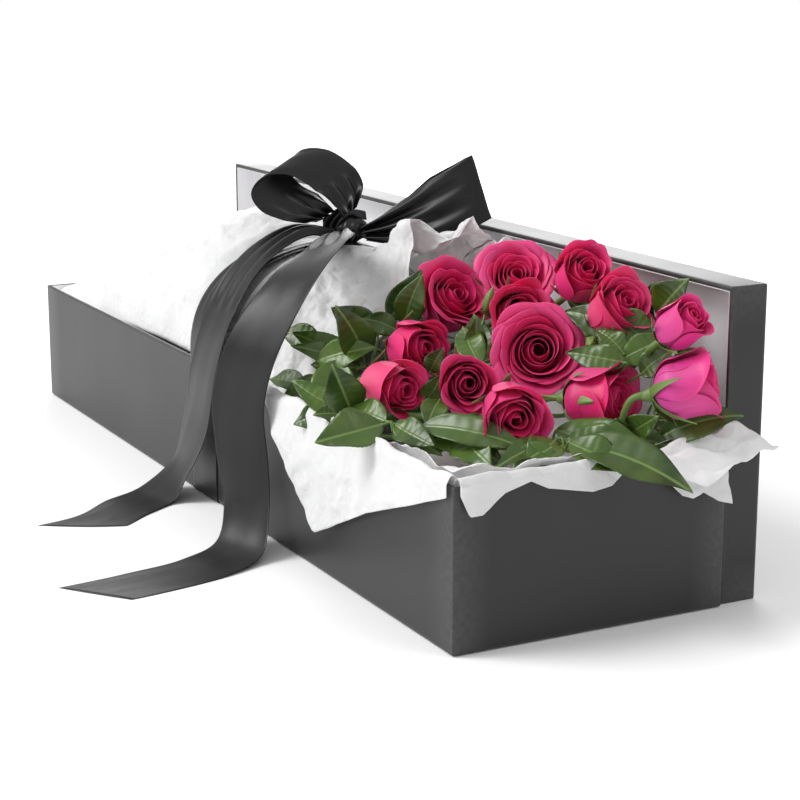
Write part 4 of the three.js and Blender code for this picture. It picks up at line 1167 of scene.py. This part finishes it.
# More leaves by the number of their sprig, each as base, tip, the way it faces and its width.
moreLeaves = {
    1: [((108, -84, 14), (76, -66, -2), (0.6, -0.4, 0.6), 17),
        ((130, -88, 8), (150, -108, 2), (0.5, -0.5, 0.6), 15)],
    2: [((98, -70, 13), (34, -26, 6), (0.6, -0.4, 0.7), 20),
        ((19, -20, 11), (27, -45, -3), (0.7, -0.3, 0.6), 18),
        ((127, -40, 21), (108, -60, 8), (0.7, -0.4, 0.5), 16),
        ((91, -30, 17), (69, -50, 8), (0.7, -0.4, 0.5), 16),
        ((70, -46, 8), (92, -74, 4), (0.6, -0.4, 0.6), 16)],
    3: [((50, 2, 12), (2, 44, 6), (0.6, -0.3, 0.7), 26), ((22, -6, 12), (-14, 18, -2), (0.6, -0.3, 0.7), 22),
        ((36, -12, 10), (20, -60, 2), (0.5, -0.4, 0.7), 17),
        ((60, 20, 6), (30, 40, 4), (0.6, -0.2, 0.7), 17)],
    4: [((27, 62, 33), (6, 64, 18), (0.8, -0.3, 0.5), 14),
        ((38, 36, 12), (24, 30, 22), (0.8, -0.3, 0.4), 20),
        ((34, 46, 8), (6, 50, 26), (0.8, -0.3, 0.4), 17), ((46, 70, 12), (8, 96, 12), (0.4, -0.4, 0.8), 20),
        ((60, 84, 20), (30, 97, 30), (0.4, -0.7, 0.5), 16), ((30, 40, 6), (6, 60, 4), (0.5, -0.3, 0.8), 18)],
    5: [((84, 92, 66), (122, 96, 96), (0.5, -0.8, 0.2), 20),
        ((70, 92, 76), (44, 97, 104), (0.5, -0.8, 0.2), 24),
        ((120, 92, 50), (152, 96, 88), (0.5, -0.8, 0.2), 20),
        ((70, 92, 50), (40, 97, 78), (0.5, -0.8, 0.2), 18),
        ((150, 90, 60), (184, 94, 98), (0.5, -0.8, 0.2), 18)],
    6: [((219, -70, 33), (196, -98, -4), (0.7, -0.5, 0.4), 27),
        ((149, -75, 11), (177, -85, 17), (0.6, -0.3, 0.6), 20),
        ((197, -88, 4), (208, -110, -6), (0.6, -0.5, 0.5), 16),
        ((186, -80, 20), (164, -66, 8), (0.7, -0.4, 0.5), 18)],
    7: [((248, -25, 42), (263, -55, 62), (0.8, -0.5, 0.2), 22),
        ((264, -62, 33), (300, -78, 40), (0.7, -0.5, 0.4), 18),
        ((232, -80, 31), (206, -48, 43), (0.6, -0.5, 0.5), 20),
        ((252, -80, 8), (290, -92, 8), (0.5, -0.5, 0.6), 15),
        ((240, -70, 14), (262, -94, 2), (0.6, -0.5, 0.5), 17)],
    8: [((270, -5, 48), (243, 8, 88), (0.8, -0.5, 0.2), 21),
        ((238, -30, 34), (214, -56, 40), (0.7, -0.5, 0.4), 18),
        ((230, 10, 30), (210, -4, 54), (0.8, -0.4, 0.3), 18)],
    9: [((136, -5, 39), (176, 4, 58), (0.8, -0.4, 0.4), 18),
        ((160, -30, 32), (152, -24, 50), (0.8, -0.4, 0.3), 13),
        ((176, 20, 28), (206, 30, 60), (0.8, -0.4, 0.3), 18),
        ((150, -40, 14), (136, -34, 36), (0.8, -0.4, 0.3), 14)],
    10: [((72, 80, 67), (118, 50, 74), (0.7, -0.5, 0.4), 24),
         ((60, 80, 59), (85, 62, 80), (0.7, -0.5, 0.4), 22),
         ((62, 58, 50), (40, 84, 68), (0.7, -0.5, 0.4), 18),
         ((60, 60, 54), (81, 52, 68), (0.7, -0.4, 0.4), 15),
         ((50, 55, 51), (84, 30, 54), (0.7, -0.4, 0.4), 17),
         ((44, 62, 44), (24, 78, 64), (0.7, -0.5, 0.4), 17)],
}
sprigTurn = np.array([0.5, -0.3, 0.1])
# Small closed buds by the number of their sprig, each as base, tip and width.
buds = {
    4: [((66, 28, 26), (44, 26, 30), 12)],
    9: [((164, 88, 66), (160, 84, 88), 11), ((196, 34, 62), (186, 34, 82), 9)],
    10: [((92, 56, 58), (74, 42, 60), 9)],
}


# A leaf: an oval that narrows to a point, folded a little along its midrib, arched from base to tip,
# with a soft wave along its margins.
def leafBlade(base, tip, face, width, rng, rows=33, columns=13):
    length = np.linalg.norm(tip - base)
    x = (tip - base) / length
    z = np.array(face, float)
    z = unit(z - x * (x @ z))
    y = np.cross(z, x)
    s = np.linspace(0, 1, rows)[:, None]
    u = np.linspace(-1, 1, columns)[None]
    halfWidth = width / 2 * np.sin(math.pi * np.clip(s, 0, 1) ** 0.82) ** 0.85 * (1 - 0.25 * s ** 3)
    serrate = 1 + 0.035 * (np.abs((s * 15) % 1 - 0.5) * 2 - 0.5) * np.abs(u) ** 6
    phase = rng.uniform(0, 6.28, 2)
    fold = 0.17 + rng.uniform(-0.05, 0.12)
    arc = length * rng.uniform(0.03, 0.09)
    side = u * halfWidth * serrate
    height = np.abs(side) * fold + arc * 4 * s * (1 - s)
    height = height + 0.0014 * np.sin(11 * s + phase[0]) * np.abs(u) ** 2 * np.sign(u) * np.sin(math.pi * s)
    height = height - 0.0010 * np.sin(9 * s + phase[1]) * np.abs(u) ** 3
    sway = length * 0.05 * rng.uniform(-1, 1) * np.sin(math.pi * s)
    points = base + (s * length)[..., None] * x + (side + sway)[..., None] * y + height[..., None] * z
    bright = rng.uniform(0.15, 0.75) + 0.12 * np.sin(5 * s)
    shade = joined(np.clip(bright, 0, 1) + 0 * u, np.abs(u) * halfWidth / width * 2 + 0 * s, 0 * s + 0 * u)
    uv = joined(s + 0 * u, (u + 1) / 2 + 0 * s)
    return patch(points, 0, shade, uv)


# A closed bud: an egg drawn out to a point, with five soft ribs.
def budPart(base, tip, width, rng):
    t = np.linspace(0, 1, 20)[:, None]
    turn = np.linspace(0, 2 * math.pi, 30, endpoint=False)[None]
    length = np.linalg.norm(tip - base)
    radius = width / 2 * np.sin(math.pi * np.clip(t, 0.002, 0.998) ** 0.72) ** 0.8 * (1 - 0.35 * t)
    ribbed = radius * (1 + 0.07 * np.cos(5 * turn + 2.5 * t))
    points = joined(ribbed * np.cos(turn), ribbed * np.sin(turn), length * t + 0 * turn)
    shade = joined(0.3 + 0.7 * t + 0 * turn, 1 + 0 * t + 0 * turn, 0 * t + 0 * turn)
    return patch(toWorld(points, base, tip - base, rng.uniform(0, 6)), 1, shade, closeColumns=True)


# A sprig: a stalk, then leaves and buds, each joined to the stalk by a twig.
def makeSprig(k, sprig):
    rng = np.random.default_rng(900 + k)
    line = centripetal([place(*p) for p in sprig["stalk"]], 40)
    patches = [tube(line, np.linspace(1.1, 1.5, 40) * mm, 8, 1, (0.35, 1, 0))]
    for tip, face, width in sprig["leaves"]:
        foot = line[1]
        end = place(*tip)
        start = foot + (end - foot) * 0.10
        patches.append(leafBlade(start, end, unit(face) + sprigTurn, width * 1.22 * mm, rng))
        patches.append(tube(np.linspace(foot, start + (end - start) * 0.04, 6), 0.8 * mm, 6, 1, (0.5, 1, 0)))
    for base, tip, face, width in moreLeaves.get(k + 1, []):
        start, end = place(*base), place(*tip)
        patches.append(leafBlade(start, end, unit(face), width * 1.15 * mm, rng))
        near = line[np.argmin(np.linalg.norm(line - start, axis=1))]
        sag = (near + start) / 2 + np.array([0, 0, -0.006])
        twig = centripetal([near, sag, start, start + (end - start) * 0.05], 16)
        patches.append(tube(twig, 0.75 * mm, 6, 1, (0.45, 1, 0)))
    for base, tip, width in buds.get(k + 1, []):
        start, end = place(*base), place(*tip)
        patches.append(budPart(start, end, width * mm, rng))
        near = line[np.argmin(np.linalg.norm(line - start, axis=1))]
        sag = (near + start) / 2 + np.array([0, 0, -0.004])
        twig = centripetal([near, sag, start, start + (end - start) * 0.1], 16)
        patches.append(tube(twig, 0.8 * mm, 6, 1, (0.45, 1, 0)))
    piece = makePiece(f"foliageSprig{k + 1:02d}", patches, [leafLook, stemLook], thickness=0.0003)
    settle(piece, "tray", [f"foliage_sprig_{k + 1:02d}"])


for k, sprig in enumerate(sprigs):
    makeSprig(k, sprig)
print("foliage")

# What holds the bunch.
rubber = {"turns": 5, "cord": 0.0011}


def rubberFinish():
    m, tree, shader = finish("rubber", Roughness=0.55)
    at = coordinates(tree, "Object", (1, 1, 1))
    cloud = noise(tree, at, 300, 4)
    tree.links.new(ramp(tree, cloud, [(0.3, (0.42, 0.25, 0.08)), (0.7, (0.60, 0.40, 0.17))]),
                   shader.inputs["Base Color"])
    bump(tree, shader, cloud, 0.0001, 0.5)
    return m


def pouchFinish():
    m, tree, shader = finish("pouchFilm", Roughness=0.16, Alpha=0.55)
    at = coordinates(tree, "Object", (1, 1, 1))
    cloud = noise(tree, at, 90, 4)
    tree.links.new(ramp(tree, cloud, [(0.3, (0.72, 0.76, 0.78)), (0.7, (0.88, 0.91, 0.92))]),
                   shader.inputs["Base Color"])
    bump(tree, shader, cloud, 0.0006, 0.5)
    return m


tieMiddle = (tieLow + tieHigh) / 2
tieOuter = (tieHigh[2] - tieLow[2]) / 2
windings = np.linspace(0, 2 * math.pi * rubber["turns"], 260)
rise = (windings / windings[-1] - 0.5) * (tieHigh[0] - tieLow[0] - 2 * rubber["cord"])
ringRadius = tieOuter - rubber["cord"] - 0.0006 * (1 + np.sin(windings * 0.37))
winding = joined(tieMiddle[0] + rise * np.cos(windings * 0.5), ringRadius * np.cos(windings),
                 tieMiddle[2] + ringRadius * np.sin(windings))
tie = makePiece("stemTie", [tube(winding, rubber["cord"], 8)], [rubberFinish()])
settle(tie, "tray", ["stem_tie"])

pouchLow, pouchHigh = [np.array(c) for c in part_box("water_pouch")]


# The pouch: a film cup round the stem ends, its wall drawn into lengthwise creases towards its mouth
# and puckered flat at its end.
def pouchSkin(rows=60, columns=72):
    middle = (pouchLow + pouchHigh) / 2
    outer = (pouchHigh[2] - pouchLow[2]) / 2
    t = np.linspace(0, 1, rows)[:, None]
    turn = np.linspace(0, 2 * math.pi, columns, endpoint=False)[None]
    crease = crumple(turn * 0.02, t * 0.05, 0.012, 91)
    radius = (outer - 0.0012) * np.minimum(1, (t / 0.06 + 1e-3) ** 0.4)
    radius = radius + 0.0022 * crease * smooth(t, 0.02, 0.2)
    x = pouchLow[0] + 0.0003 + (pouchHigh[0] - pouchLow[0] - 0.0006) * t
    return joined(x + 0 * turn, radius * np.cos(turn), middle[2] + radius * np.sin(turn))


pouch = makePiece("waterPouch", [patch(pouchSkin(), closeColumns=True)], [pouchFinish()], thickness=0.0002)
settle(pouch, "tray", ["water_pouch"])
print("holders")
